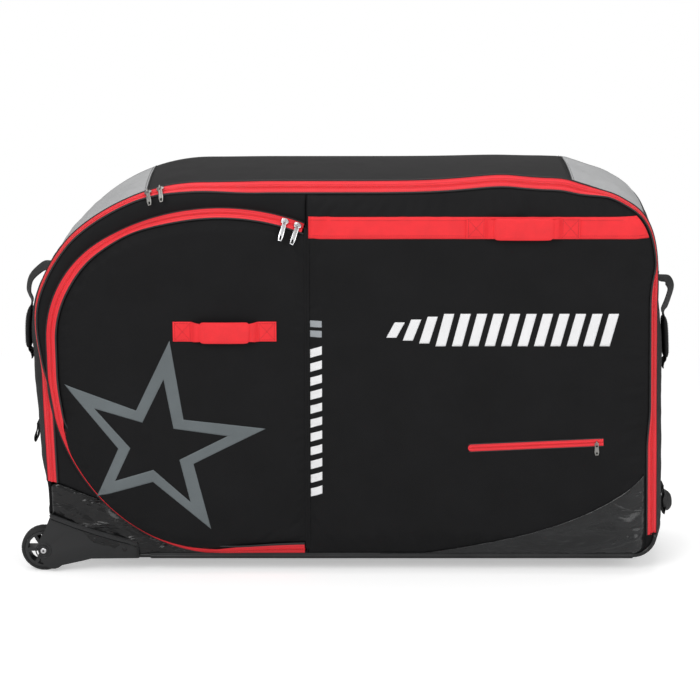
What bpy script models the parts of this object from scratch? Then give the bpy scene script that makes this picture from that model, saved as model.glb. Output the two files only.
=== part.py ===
# Soft bike travel bag: a padded fabric case with a zipped front flap, a wheel pocket in
# the flap, carry handles, end handles and two wheels in moulded housings.
# Units are metres, +Z is up, X runs along the bag and the front faces -Y.
import math

import bmesh
import bpy
from mathutils import Matrix, Vector

# Case: reach of the two ends at the foot and at the shoulder, height and depth
LEFT_FOOT = 0.624
LEFT_SHOULDER = 0.641
RIGHT_FOOT = 0.636
RIGHT_SHOULDER = 0.628
CASE_HEIGHT = 0.798
CASE_DEPTH = 0.270
FRONT_Y = -0.125
TOP_SWELL = 0.012
SWELL_SKEW_SHARE = 4
LEFT_CORNER_R = 0.342
LEFT_CORNER_DROP = 0.342
RIGHT_CORNER_RUN = 0.225
RIGHT_CORNER_DROP = 0.250
RIGHT_CORNER_POWER_SHARE = 3.1
FOOT_R = 0.050
WALL = 0.008
TOP_BELLY = 0.006
END_BELLY = 0.027
BACK_GROWTH = 0.009
GAP = 0.0003
OVERRUN = 0.004

# Wheels at the left end
WHEEL_R = 0.0485
WHEEL_WIDTH = 0.028
TYRE_THICKNESS = 0.008
WHEEL_X = -0.6450
REAR_SHIFT = 0.024
AXLE_RISE = 0.0170
AXLE_R = 0.004
AXLE_HEAD_R = 0.0065
AXLE_HEAD_T = 0.0025
HUB_R = 0.011
SPOKE_COUNT = 6
SPOKE_WIDTH = 0.007
WHEEL_GAP = 0.003

# Moulded wheel housings
HOUSING_TAIL_X = -0.447
HOUSING_TAIL_Z = 0.039
HOUSING_PEAK_X = -0.626
HOUSING_PEAK_Z = 0.099
HOUSING_PLATE = 0.005
HOUSING_LIP = 0.004
HOUSING_LIP_H = 0.010
HOUSING_LOW_X = -0.545
RAMP_TOP_Z = 0.092
RAMP_FOOT_X = -0.526
LOBE_X = -0.625
LOBE_Z = 0.0205
LOBE_RUN = 0.031
LOBE_RISE = 0.0445
RIVET_X = -0.474
RIVET_Z = 0.020
RIVET_R = 0.005
RIVET_H = 0.0015

# Main zip
TAPE_WIDTH = 0.026
TAPE_T = 0.0014
CHAIN_T = 0.0030
CHAIN_HALF = 0.0030
CHAIN_GAP = 0.0004
LEFT_ZIP_END = 0.165
TILT_LOW = math.radians(45)
TILT_CORNER = math.radians(20)
TILT_TOP = math.radians(56)
TILT_RIGHT = math.radians(14)
TILT_SIDE = math.radians(26)

# Front panels
PANEL_T = 0.009
CROWN = 0.014
SHOULDER_NEAR = 0.011
SHOULDER_FAR = 0.030
CROWN_NEAR_SHARE = 0.6
SEAM_X = -0.088

# Wheel pocket: its zip runs over two arcs, a straight and a quarter ellipse
POCKET_X = -0.262
POCKET_HEADROOM = 0.049
POCKET_LEFT = -0.622
POCKET_TOP_R = 0.470
POCKET_TOP_SWEEP = math.radians(31)
POCKET_SIDE = 0.0634
POCKET_TAPE_RUN = 0.017
LINER_DEPTH = 0.065
LINER_WALL = 0.002

# Sliders and pulls
SLIDER_L = 0.015
SLIDER_W = 0.012
SLIDER_T = 0.0022
ARCH_W = 0.0026
ARCH_SPAN = 0.0096
ARCH_H = 0.0062
ARCH_T = 0.0016
PULL_BAR_R = 0.0007
PULL_EYE = 0.0068
PULL_EYE_W = 0.0046
PULL_L = 0.044
PULL_W = 0.0095
PULL_TOP_W = 0.0078
PULL_T = 0.0018
SMALL_PULL_L = 0.026
PULL_LEAN = math.radians(12)
END_STOP = 0.004
SLIDER_SPACING = 0.026
LEFT_SLIDER_ANGLE = math.radians(18.5)

# Red webbing band and the two carry handles
BAND_HEADROOM = 0.063
BAND_WIDTH = 0.045
WEB_T = 0.0022
BAND_HANDLE_X = 0.3485
BAND_HANDLE_L = 0.229
DOOR_HANDLE_X = -0.2555
DOOR_HANDLE_Z = 0.4975
DOOR_HANDLE_L = 0.211
HANDLE_W = 0.040
HANDLE_SEWN = 0.038
HANDLE_BOW = 0.014
GRIP_T = 0.005
GRIP_W = 0.046

# Small front pocket
SMALL_X = 0.384
SMALL_Z = 0.253
SMALL_L = 0.282
SMALL_H = 0.015
SMALL_TILT = 0.046
POUCH_DROP = 0.190
POUCH_T = 0.004

# Coated corner patches
PATCH_T = 0.0012
PATCH_START_X = 0.060
PATCH_END_X = 0.615
PATCH_RISE = 0.190
PATCH_POWER_SHARE = 1.93
PATCH_LEAST = 0.012
LEFT_PATCH_MEET = 0.130
LEFT_PATCH_TIP = 0.004

# Handles and tabs on the two ends
END_WEB_W = 0.038
END_WEB_T = 0.0025
END_BOW = 0.027
LEFT_BOW_TOP = 0.605
LEFT_BOW_LOW = 0.530
RIGHT_BOW_TOP = 0.570
RIGHT_BOW_LOW = 0.500
END_GRIP_L = 0.094
END_GRIP_T = 0.013
END_STRAP_TAIL = 0.020
LEFT_TAB_Z = 0.238
RIGHT_TAB_Z = 0.088
TAB_L = 0.044
TAB_OUT = 0.014

# Back, base and what lies inside
BINDING_W = 0.010
BINDING_T = 0.004
BOARD_T = 0.004
BOARD_MARGIN = 0.050
STRAP_X = 0.210
STRAP_W = 0.038
STRAP_LOW = 0.180
STRAP_HIGH = 0.620
BUCKLE_L = 0.060
BUCKLE_W = 0.050
BUCKLE_T = 0.011
BUCKLE_Z = 0.400

# Values that follow
POCKET_TOP = CASE_HEIGHT - POCKET_HEADROOM
BAND_HIGH = CASE_HEIGHT - BAND_HEADROOM
BAND_LOW = BAND_HIGH - BAND_WIDTH
BASE_Z = WHEEL_R - AXLE_RISE
BACK_Y = FRONT_Y + CASE_DEPTH
MID_Y = FRONT_Y + CASE_DEPTH / 2
WHEEL_Z = BASE_Z + AXLE_RISE
HALF_TAPE = TAPE_WIDTH / 2
WELL_WIDTH = WHEEL_WIDTH + 2 * WHEEL_GAP
HOUSING_DEPTH = WELL_WIDTH + 2 * HOUSING_PLATE
PLATEAU_Y = FRONT_Y - CROWN
FLAP_LOW = BASE_Z + WALL + GAP
POCKET_BOTTOM = WALL + 2 * GAP

for old in list(bpy.data.objects):
    bpy.data.objects.remove(old, do_unlink=True)

PAINTS = {}


# Materials and mesh helpers
def paint(name, rgb, rough, metal=0.0):
    if name not in PAINTS:
        mat = bpy.data.materials.new(name)
        mat.use_nodes = True
        node = mat.node_tree.nodes["Principled BSDF"]
        node.inputs["Base Color"].default_value = (*rgb, 1.0)
        node.inputs["Roughness"].default_value = rough
        node.inputs["Metallic"].default_value = metal
        PAINTS[name] = mat
    return PAINTS[name]


def look(obj, kind):
    looks = {
        "fabric": ((0.012, 0.012, 0.013), 0.85, 0.0),
        "red_web": ((0.80, 0.035, 0.04), 0.7, 0.0),
        "red_tape": ((0.72, 0.02, 0.03), 0.6, 0.0),
        "grey_coated": ((0.33, 0.34, 0.35), 0.4, 0.0),
        "black_coated": ((0.025, 0.026, 0.028), 0.3, 0.0),
        "black_web": ((0.010, 0.010, 0.011), 0.8, 0.0),
        "plastic": ((0.020, 0.021, 0.022), 0.45, 0.0),
        "rubber": ((0.013, 0.013, 0.014), 0.7, 0.0),
        "silver": ((0.75, 0.75, 0.76), 0.25, 1.0),
        "gunmetal": ((0.12, 0.12, 0.13), 0.3, 1.0),
        "lining": ((0.03, 0.03, 0.035), 0.8, 0.0),
    }
    rgb, rough, metal = looks[kind]
    obj.data.materials.clear()
    obj.data.materials.append(paint(obj.name + "_paint", rgb, rough, metal))
    return obj


def finish_mesh(name, bm, kind, origin=None, smooth=True):
    bmesh.ops.recalc_face_normals(bm, faces=bm.faces)
    mesh = bpy.data.meshes.new(name)
    if origin is not None:
        bmesh.ops.translate(bm, verts=bm.verts, vec=-Vector(origin))
    bm.to_mesh(mesh)
    bm.free()
    obj = bpy.data.objects.new(name, mesh)
    bpy.context.scene.collection.objects.link(obj)
    if origin is not None:
        obj.location = origin
    if smooth:
        mesh.shade_smooth()
        mesh.set_sharp_from_angle(angle=math.radians(35))
    return look(obj, kind)


def loft_bmesh(sections, ring=False):
    bm = bmesh.new()
    rows = [[bm.verts.new(p) for p in section] for section in sections]
    count = len(rows[0])
    pairs = list(zip(rows, rows[1:]))
    if ring:
        pairs.append((rows[-1], rows[0]))
    for a, b in pairs:
        for i in range(count):
            j = (i + 1) % count
            bm.faces.new((a[i], a[j], b[j], b[i]))
    if not ring:
        bm.faces.new(rows[0])
        bm.faces.new(list(reversed(rows[-1])))
    return bm


def loft(name, sections, kind, ring=False, origin=None):
    return finish_mesh(name, loft_bmesh(sections, ring), kind, origin)


def prism_bmesh(outline, y0, y1):
    return loft_bmesh([[Vector((x, y, z)) for x, z in outline] for y in (y0, y1)])


def box_bmesh(low, high):
    outline = [(low[0], low[2]), (high[0], low[2]), (high[0], high[2]), (low[0], high[2])]
    return prism_bmesh(outline, low[1], high[1])


def disc_outline(cx, cz, radius, count):
    turns = [math.tau * i / count for i in range(count)]
    return [(cx + radius * math.cos(t), cz + radius * math.sin(t)) for t in turns]


def combine(target, bm, operation):
    bmesh.ops.recalc_face_normals(bm, faces=bm.faces)
    mesh = bpy.data.meshes.new("tool")
    bm.to_mesh(mesh)
    bm.free()
    tool = bpy.data.objects.new("tool", mesh)
    bpy.context.scene.collection.objects.link(tool)
    modifier = target.modifiers.new("step", "BOOLEAN")
    modifier.operation = operation
    modifier.solver = "EXACT"
    modifier.object = tool
    graph = bpy.context.evaluated_depsgraph_get()
    made = bpy.data.meshes.new_from_object(target.evaluated_get(graph))
    target.modifiers.clear()
    target.data = made
    bpy.data.objects.remove(tool, do_unlink=True)
    return target


def blend(a, b, t):
    return a + (b - a) * t


def ease(t):
    t = min(max(t, 0.0), 1.0)
    return t * t * (3 - 2 * t)


# The case's outline, seen from the front, as points in X and Z
def line(p, q, count):
    return [(blend(p[0], q[0], i / count), blend(p[1], q[1], i / count)) for i in range(count)]


def left_end():
    foot = (-LEFT_FOOT, BASE_Z + RAMP_TOP_Z)
    shoulder = (-LEFT_SHOULDER, BASE_Z + CASE_HEIGHT - LEFT_CORNER_DROP)
    rise = (BASE_Z + LEFT_ZIP_END - foot[1]) / (shoulder[1] - foot[1])
    zip_end = (blend(foot[0], shoulder[0], rise), BASE_Z + LEFT_ZIP_END)
    return line(foot, zip_end, 2) + line(zip_end, shoulder, 7)


def left_corner():
    cx = -LEFT_SHOULDER + LEFT_CORNER_R
    cz = BASE_Z + CASE_HEIGHT - LEFT_CORNER_DROP
    turns = [math.pi / 2 * i / 14 for i in range(14)]
    return [(cx - LEFT_CORNER_R * math.cos(t), cz + LEFT_CORNER_DROP * math.sin(t)) for t in turns]


def top_edge():
    start = -LEFT_SHOULDER + LEFT_CORNER_R
    stop = RIGHT_SHOULDER - RIGHT_CORNER_RUN
    points = []
    for i in range(10):
        t = i / 10
        swell = TOP_SWELL * math.sin(math.pi * t ** SWELL_SKEW_SHARE) ** 2
        points.append((blend(start, stop, t), BASE_Z + CASE_HEIGHT + swell))
    return points


def right_corner():
    cx = RIGHT_SHOULDER - RIGHT_CORNER_RUN
    cz = BASE_Z + CASE_HEIGHT - RIGHT_CORNER_DROP
    power = 2 / RIGHT_CORNER_POWER_SHARE
    points = []
    for i in range(12):
        t = math.pi / 2 * i / 12
        x = cx + RIGHT_CORNER_RUN * math.sin(t) ** power
        points.append((x, cz + RIGHT_CORNER_DROP * math.cos(t) ** power))
    return points


def right_end():
    shoulder = (RIGHT_SHOULDER, BASE_Z + CASE_HEIGHT - RIGHT_CORNER_DROP)
    return line(shoulder, (RIGHT_FOOT, BASE_Z + FOOT_R), 9)


def right_foot():
    cx = RIGHT_FOOT - FOOT_R
    turns = [math.pi / 2 * i / 4 for i in range(4)]
    return [(cx + FOOT_R * math.cos(t), BASE_Z + FOOT_R - FOOT_R * math.sin(t)) for t in turns]


def base_edge():
    return line((RIGHT_FOOT - FOOT_R, BASE_Z), (RAMP_FOOT_X, BASE_Z), 10)


def ramp():
    return line((RAMP_FOOT_X, BASE_Z), (-LEFT_FOOT, BASE_Z + RAMP_TOP_Z), 3)


OUTLINE = []
SPAN = {}
for part_name, part_points in (("left_end", left_end()), ("left_corner", left_corner()),
                               ("top", top_edge()), ("right_corner", right_corner()),
                               ("right_end", right_end()), ("right_foot", right_foot()),
                               ("base", base_edge()), ("ramp", ramp())):
    SPAN[part_name] = (len(OUTLINE), len(OUTLINE) + len(part_points))
    OUTLINE.extend(part_points)
COUNT = len(OUTLINE)


def outward(points, i, closed=True):
    n = len(points)
    a = points[(i - 1) % n] if closed else points[max(i - 1, 0)]
    b = points[(i + 1) % n] if closed else points[min(i + 1, n - 1)]
    dx, dz = b[0] - a[0], b[1] - a[1]
    size = math.hypot(dx, dz)
    return (-dz / size, dx / size)


NORMALS = [outward(OUTLINE, i) for i in range(COUNT)]


def around(first, last):
    return list(range(SPAN[first][0], SPAN[last][1])) + [SPAN[last][1] % COUNT]


def inset(i, amount):
    (x, z), (nx, nz) = OUTLINE[i], NORMALS[i]
    return (x - nx * amount, z - nz * amount)


# The zip tape leans from facing outward (0) to facing the front (90 degrees)
def tilt(i):
    x, z = OUTLINE[i]
    rise = z - BASE_Z
    if SPAN["left_end"][0] <= i < SPAN["left_end"][1]:
        share = rise / (CASE_HEIGHT - LEFT_CORNER_DROP)
        return blend(TILT_LOW, TILT_CORNER, ease((share - 3 / 5) * 4))
    if i < SPAN["left_corner"][1]:
        return TILT_CORNER
    if i < SPAN["top"][1]:
        near = (i - SPAN["top"][0]) / (SPAN["top"][1] - SPAN["top"][0])
        return blend(TILT_CORNER, TILT_TOP, ease(near * 4))
    if i < SPAN["right_corner"][1]:
        near = (i - SPAN["right_corner"][0]) / (SPAN["right_corner"][1] - SPAN["right_corner"][0])
        return blend(TILT_TOP, TILT_RIGHT, ease(near * 2))
    if i < SPAN["right_end"][1]:
        near = (i - SPAN["right_end"][0]) / (SPAN["right_end"][1] - SPAN["right_end"][0])
        side = blend(TILT_RIGHT, TILT_SIDE, ease(near * 5))
        return blend(side, TILT_LOW, ease((near - 2 / 5) * 5))
    return TILT_LOW


def tape_frame(i):
    (x, z), (nx, nz) = OUTLINE[i], NORMALS[i]
    lean = tilt(i)
    edge = Vector((x, FRONT_Y + TAPE_WIDTH * math.cos(lean), z))
    across = Vector((-nx * math.sin(lean), -math.cos(lean), -nz * math.sin(lean)))
    out = Vector((nx * math.cos(lean), -math.sin(lean), nz * math.cos(lean)))
    return edge, across, out


def panel_point(i, extra=0.0):
    return inset(i, TAPE_WIDTH * math.sin(tilt(i)) + extra)


# The walls swell half way back, most on the two ends and not at all at the foot
def belly(i):
    rise = (OUTLINE[i % COUNT][1] - BASE_Z) / CASE_HEIGHT
    if around("top", "top")[0] <= i <= around("top", "top")[-1]:
        return TOP_BELLY
    if i >= SPAN["right_foot"][0]:
        return 0.0
    if rise < 1 / 2:
        return END_BELLY * ease((rise * CASE_HEIGHT - RAMP_TOP_Z) / (CASE_HEIGHT / 5))
    return blend(END_BELLY, TOP_BELLY, ease(rise * 2 - 1))


# The back's outline is fuller than the front's round the upper corners, and its top is
# more level
def growth(i):
    height = OUTLINE[i % COUNT][1] - BASE_Z
    return BACK_GROWTH * ease((height / CASE_HEIGHT - 2 / 5) * 3) - max(height - CASE_HEIGHT, 0.0) * 3 / 4


ZIP = []
for zip_i in around("left_end", "right_end"):
    zip_rise = OUTLINE[zip_i][1] - BASE_Z
    on_left = zip_i < SPAN["left_end"][1] and zip_rise < LEFT_ZIP_END - GAP
    if not on_left:
        ZIP.append(zip_i)


def top_point(x):
    run = [panel_point(i) for i in around("top", "top")]
    for a, b in zip(run, run[1:]):
        if a[0] <= x <= b[0]:
            return (x, blend(a[1], b[1], (x - a[0]) / (b[0] - a[0])))
    return run[-1]


# A section's last row is drawn back so that neighbours keep their gap
def trim(rows, start=False):
    def pull(row, other):
        return [p + (q - p).normalized() * GAP for p, q in zip(row, other)]
    rows = list(rows)
    rows[-1] = pull(rows[-1], rows[-2])
    if start:
        rows[0] = pull(rows[0], rows[1])
    return rows


def gusset(name, indices, kind, front_y, start=False):
    rows = []
    for i in indices:
        (x, z), (nx, nz) = OUTLINE[i], NORMALS[i]
        y0 = front_y(i)
        outer, inner = [], []
        for share in (0, 1 / 4, 1 / 2, 3 / 4, 1):
            swell = belly(i) * 4 * share * (1 - share) + growth(i) * share
            y = blend(y0, BACK_Y - GAP, share)
            outer.append(Vector((x + nx * swell, y, z + nz * swell)))
            inner.append(Vector((x - nx * (WALL - swell), y, z - nz * (WALL - swell))))
        rows.append(outer + inner[::-1])
    return loft(name, trim(rows, start), kind)


def tape_back_edge(i):
    return FRONT_Y + TAPE_WIDTH * math.cos(tilt(i)) + GAP


# Fabric walls round the case
gusset("gusset_end_left", around("left_end", "left_end"), "fabric", tape_back_edge, start=True)
gusset("gusset_corner_left", around("left_corner", "left_corner"), "grey_coated", tape_back_edge)
gusset("gusset_top", around("top", "top"), "fabric", tape_back_edge)
gusset("gusset_corner_right", around("right_corner", "right_corner"), "grey_coated", tape_back_edge)
gusset("gusset_end_right", around("right_end", "right_end"), "fabric", tape_back_edge)
gusset("base_tub", around("right_foot", "ramp"), "black_coated", lambda i: FRONT_Y)


# A padded panel: rings step in from its edge path, the last ring holds a flat face
def padded_panel(name, path, kind, y_edge, y_back, rings, chord=True, facing=1):
    bm = bmesh.new()
    count = len(path)
    loops = []
    for step_in, rise in rings:
        loop = []
        for k, (x, z) in enumerate(path):
            nx, nz = outward(path, k, not chord)
            if chord and k in (0, count - 1):
                nx, nz = 0.0, math.copysign(1.0, path[k][1] - path[count // 2][1])
            point = (x - nx * step_in, y_edge - facing * rise, z - nz * step_in)
            loop.append(bm.verts.new(point))
        loops.append(loop)
    back = [bm.verts.new((x, y_back, z)) for x, z in path]
    steps = count - 1 if chord else count
    for a, b in zip([back] + loops, loops):
        for k in range(steps):
            j = (k + 1) % count
            bm.faces.new((a[k], a[j], b[j], b[k]))
    bm.faces.new(loops[-1])
    bm.faces.new(back[::-1])
    if chord:
        first = [back[0]] + [loop[0] for loop in loops]
        last = [back[-1]] + [loop[-1] for loop in loops]
        bm.faces.new(first + last[::-1])
    return finish_mesh(name, bm, kind)


# Back panel inside a bound edge
BACK_RINGS = [(0.0, 0.0), (SHOULDER_NEAR, CROWN * CROWN_NEAR_SHARE / 2), (SHOULDER_FAR, CROWN / 2)]
BACK_PATH = [inset(i, BINDING_W + GAP - growth(i)) for i in range(COUNT)]
padded_panel("back_panel", BACK_PATH, "fabric", BACK_Y + GAP, BACK_Y - WALL, BACK_RINGS,
             chord=False, facing=-1)
binding_rows = []
for i in range(COUNT):
    a, b = inset(i, -growth(i)), inset(i, BINDING_W - growth(i))
    row = [Vector((a[0], BACK_Y, a[1])), Vector((b[0], BACK_Y, b[1]))]
    row += [Vector((b[0], BACK_Y + BINDING_T, b[1])), Vector((a[0], BACK_Y + BINDING_T, a[1]))]
    binding_rows.append(row)
loft("back_binding", binding_rows, "black_web", ring=True)


# One half of a zip tape, with its raised chain along the middle of the zip
def half_tape(name, frames, width, kind, chain_first):
    rows = []
    for edge, across, out in frames:
        near, far = (0.0, width) if not chain_first else (width, 0.0)
        bead = CHAIN_HALF if not chain_first else -CHAIN_HALF
        points = [(near, 0.0), (far, 0.0), (far, CHAIN_T), (far - bead, CHAIN_T),
                  (far - bead, TAPE_T), (near, TAPE_T)]
        rows.append([edge + across * a + out * o for a, o in points])
    return loft(name, trim(rows, True), kind)


frames = [tape_frame(i) for i in ZIP]
half = HALF_TAPE - CHAIN_GAP / 2
half_tape("main_zip_tape_case", frames, half, "red_tape", False)
inner = [(edge + across * (HALF_TAPE + CHAIN_GAP / 2), across, out) for edge, across, out in frames]
half_tape("main_zip_tape_flap", inner, half, "red_tape", True)


# The pocket zip's outer edge, from the seam at the top round to the seam at the bottom
def pocket_path():
    cz = BASE_Z + POCKET_TOP - POCKET_TOP_R
    first = -math.asin((SEAM_X - POCKET_X) / POCKET_TOP_R)
    points = []
    for i in range(10):
        t = blend(first, POCKET_TOP_SWEEP, i / 10)
        points.append((POCKET_X - POCKET_TOP_R * math.sin(t), cz + POCKET_TOP_R * math.cos(t)))
    jx = POCKET_X - POCKET_TOP_R * math.sin(POCKET_TOP_SWEEP)
    jz = cz + POCKET_TOP_R * math.cos(POCKET_TOP_SWEEP)
    small = (jx - POCKET_LEFT) / (1 - math.sin(POCKET_TOP_SWEEP))
    sx, sz = POCKET_LEFT + small, jz - small * math.cos(POCKET_TOP_SWEEP)
    for i in range(7):
        t = blend(POCKET_TOP_SWEEP, math.pi / 2, i / 7)
        points.append((sx - small * math.sin(t), sz + small * math.cos(t)))
    points.append((POCKET_LEFT, sz))
    waist = sz - POCKET_SIDE
    run, fall = POCKET_X - POCKET_LEFT, waist - BASE_Z - POCKET_BOTTOM
    for i in range(14):
        t = math.pi / 2 * i / 14
        points.append((POCKET_X - run * math.cos(t), waist - fall * math.sin(t)))
    points += line((POCKET_X, BASE_Z + POCKET_BOTTOM), (SEAM_X, BASE_Z + POCKET_BOTTOM), 3)
    points.append((SEAM_X, BASE_Z + POCKET_BOTTOM))
    return points


POCKET = pocket_path()


def pocket_normal(k):
    # The path runs anticlockwise seen from the front, so its normals turn over
    nx, nz = outward(POCKET, k, closed=False)
    if k == len(POCKET) - 1:
        return (0.0, -1.0)
    return (-nx, -nz)


def pocket_inset(k, amount):
    (x, z), (nx, nz) = POCKET[k], pocket_normal(k)
    return (min(x - nx * amount, SEAM_X - GAP), z - nz * amount)


# Two halves of the pocket zip on the slope between the flap and its raised door
slope = Vector((POCKET_TAPE_RUN, CROWN)).length


def pocket_frame(k, start):
    nx, nz = pocket_normal(k)
    across = Vector((-nx * POCKET_TAPE_RUN, -CROWN, -nz * POCKET_TAPE_RUN)) / slope
    out = Vector((nx * CROWN, -POCKET_TAPE_RUN, nz * CROWN)) / slope
    x, z = POCKET[k]
    edge = Vector((x, FRONT_Y, z)) + across * start
    if k in (0, len(POCKET) - 1):
        other = pocket_frame(1 if k == 0 else k - 1, start)
        share = (edge.x - SEAM_X + END_STOP) / (edge.x - other[0].x)
        if edge.x > SEAM_X - END_STOP:
            edge = edge.lerp(other[0], share)
        across, out = across.lerp(other[1], share), out.lerp(other[2], share)
    return edge, across.normalized(), out.normalized()


pocket_half = slope / 2 - CHAIN_GAP / 2
half_tape("pocket_zip_tape_flap", [pocket_frame(k, GAP) for k in range(len(POCKET))],
          pocket_half - GAP, "red_tape", False)
half_tape("pocket_zip_tape_door",
          [pocket_frame(k, slope / 2 + CHAIN_GAP / 2) for k in range(len(POCKET))],
          pocket_half - GAP, "red_tape", True)

# The door is flat and level with the raised front; the seam is its hinge
DOOR_PATH = [pocket_inset(k, POCKET_TAPE_RUN + GAP) for k in range(len(POCKET))]
door_fall = (DOOR_PATH[0][1] - DOOR_PATH[1][1]) / (DOOR_PATH[0][0] - DOOR_PATH[1][0])
door_top = DOOR_PATH[0][1] + door_fall * (SEAM_X - GAP - DOOR_PATH[0][0])
DOOR_PATH[0] = (SEAM_X - GAP, door_top)
DOOR_PATH[-1] = (SEAM_X - GAP, DOOR_PATH[-1][1])
padded_panel("pocket_door_panel", DOOR_PATH, "fabric", PLATEAU_Y, PLATEAU_Y + PANEL_T, [(0.0, 0.0)])

# Right front panel, up to the main zip
RIGHT_PATH = [(SEAM_X + GAP, FLAP_LOW)]
for i in reversed(around("right_foot", "base")):
    if OUTLINE[i][0] > SEAM_X + WALL:
        amount = TAPE_WIDTH * math.sin(TILT_LOW) if i == SPAN["right_foot"][0] else WALL
        RIGHT_PATH.append(inset(i, amount + GAP))
for i in reversed(around("top", "right_end")[:-1]):
    if OUTLINE[i][0] > SEAM_X + WALL:
        RIGHT_PATH.append(panel_point(i, GAP))
RIGHT_PATH.append((SEAM_X + GAP, top_point(SEAM_X)[1] - GAP))
FRONT_RINGS = [(0.0, 0.0), (SHOULDER_NEAR, CROWN * CROWN_NEAR_SHARE), (SHOULDER_FAR, CROWN)]
padded_panel("front_panel_right", RIGHT_PATH[::-1], "fabric", FRONT_Y, FRONT_Y + PANEL_T, FRONT_RINGS)

# The rim between the pocket zip and the main zip
rim_start = top_point(SEAM_X - GAP)
rim_outer = [(rim_start[0], rim_start[1] - GAP * 2)]
for i in reversed(ZIP):
    if OUTLINE[i][0] < SEAM_X - WALL and i < SPAN["right_corner"][0]:
        rim_outer.append(panel_point(i, GAP * 2))
rim_stop = min(k for k in range(18, len(POCKET)) if POCKET[k][1] < BASE_Z + LEFT_PATCH_MEET)


def along(points, share):
    place = share * (len(points) - 1)
    k = min(int(place), len(points) - 2)
    (ax, az), (bx, bz) = points[k], points[k + 1]
    return (blend(ax, bx, place - k), blend(az, bz, place - k))


rim_inner = [(min(x, SEAM_X - GAP), z) for x, z in POCKET[:rim_stop + 1]]
rim_shares = {n / (len(rim_outer) - 1) for n in range(len(rim_outer))}
rim_shares |= {k / rim_stop for k in range(rim_stop + 1)}
rim_rows = []
for share in sorted(rim_shares):
    (x, z), b = along(rim_outer, share), along(rim_inner, share)
    rim_rows.append([Vector((x, FRONT_Y, z)), Vector((b[0], FRONT_Y, b[1])),
                     Vector((b[0], FRONT_Y + PANEL_T, b[1])), Vector((x, FRONT_Y + PANEL_T, z))])
loft("front_panel_rim", trim(rim_rows), "fabric")

# Coated patch at the lower left corner of the case
patch = [panel_point(ZIP[0], GAP)]
for i in range(ZIP[0] - 1, -1, -1):
    patch.append(inset(i, WALL + GAP))
for i in reversed(around("base", "ramp")[:-1]):
    if OUTLINE[i][0] < POCKET_X and i > SPAN["base"][0]:
        patch.append(inset(i, WALL + GAP))
tip = [k for k in range(rim_stop, len(POCKET)) if POCKET[k][1] > FLAP_LOW + LEFT_PATCH_TIP]
patch = [p for p in patch if p[0] < POCKET[tip[-1]][0]]
patch.append((POCKET[tip[-1]][0], FLAP_LOW))
for k in reversed(tip):
    nx, nz = pocket_normal(k)
    patch.append((POCKET[k][0] + nx * GAP, POCKET[k][1] + nz * GAP))
finish_mesh("corner_patch_left", prism_bmesh(patch, FRONT_Y, FRONT_Y + PANEL_T), "black_coated")

# Lining pan of the wheel pocket, open towards its door
def liner():
    def loop(amount, y):
        return [Vector((*pocket_inset(k, amount), y)).xzy for k in range(len(POCKET))]
    deep = FRONT_Y + LINER_DEPTH
    pan = loft_bmesh([loop(GAP * 2, FRONT_Y + GAP), loop(GAP * 2, deep)])
    obj = finish_mesh("wheel_pocket_liner", pan, "lining")
    hollow = [pocket_inset(k, GAP * 2 + LINER_WALL) for k in range(len(POCKET))]
    hollow = [(min(x, SEAM_X - GAP * 2 - LINER_WALL), z) for x, z in hollow]
    tool = prism_bmesh(hollow, FRONT_Y - OVERRUN, deep - LINER_WALL)
    return look(combine(obj, tool, "DIFFERENCE"), "lining")


liner()


# A strap swept along a path of centre points; its width runs along one axis
def strap(name, path, wide, width, thickness, kind, widths=None):
    rows = []
    count = len(path)
    for k, p in enumerate(path):
        a, b = path[max(k - 1, 0)], path[min(k + 1, count - 1)]
        normal = (b - a).cross(wide).normalized() * (thickness / 2)
        side = wide * ((widths[k] if widths else width) / 2)
        rows.append([p - side - normal, p + side - normal, p + side + normal, p - side + normal])
    return loft(name, rows, kind)


# A wrapped grip: a padded sleeve with a flat bore for its strap
def grip(name, path, wide, width, thickness, bore_width, bore_height, kind):
    def ring(k, half_wide, half_high, share):
        p = path[k]
        a, b = path[max(k - 1, 0)], path[min(k + 1, len(path) - 1)]
        normal = (b - a).cross(wide).normalized()
        corners = []
        for u, v in ((-1, -share), (-share, -1), (share, -1), (1, -share),
                     (1, share), (share, 1), (-share, 1), (-1, share)):
            corners.append(p + wide * half_wide * u + normal * half_high * v)
        return corners
    outer = [ring(k, width / 2, thickness / 2, 3 / 5) for k in range(len(path))]
    inner = [ring(k, bore_width / 2, bore_height / 2, 9 / 10) for k in range(len(path))]
    return loft(name, outer + inner[::-1], kind, ring=True)


ALONG_Z = Vector((0, 0, 1))
ALONG_Y = Vector((0, 1, 0))
ALONG_X = Vector((1, 0, 0))

# Red webbing band across the right front panel
band_z = BASE_Z + (BAND_LOW + BAND_HIGH) / 2
band_w = BAND_HIGH - BAND_LOW
band_y = PLATEAU_Y - GAP - WEB_T / 2
band_start = SEAM_X + END_STOP
reach = [p[0] for p in (panel_point(i) for i in around("right_corner", "right_end")) if p[1] > BASE_Z + BAND_HIGH]
band_stop = min(reach[-2:]) - SHOULDER_FAR
band_path = [Vector((band_start, band_y, band_z)), Vector((band_stop, band_y, band_z))]
strap("webbing_band", band_path, ALONG_Z, band_w, WEB_T, "red_web")


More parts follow.
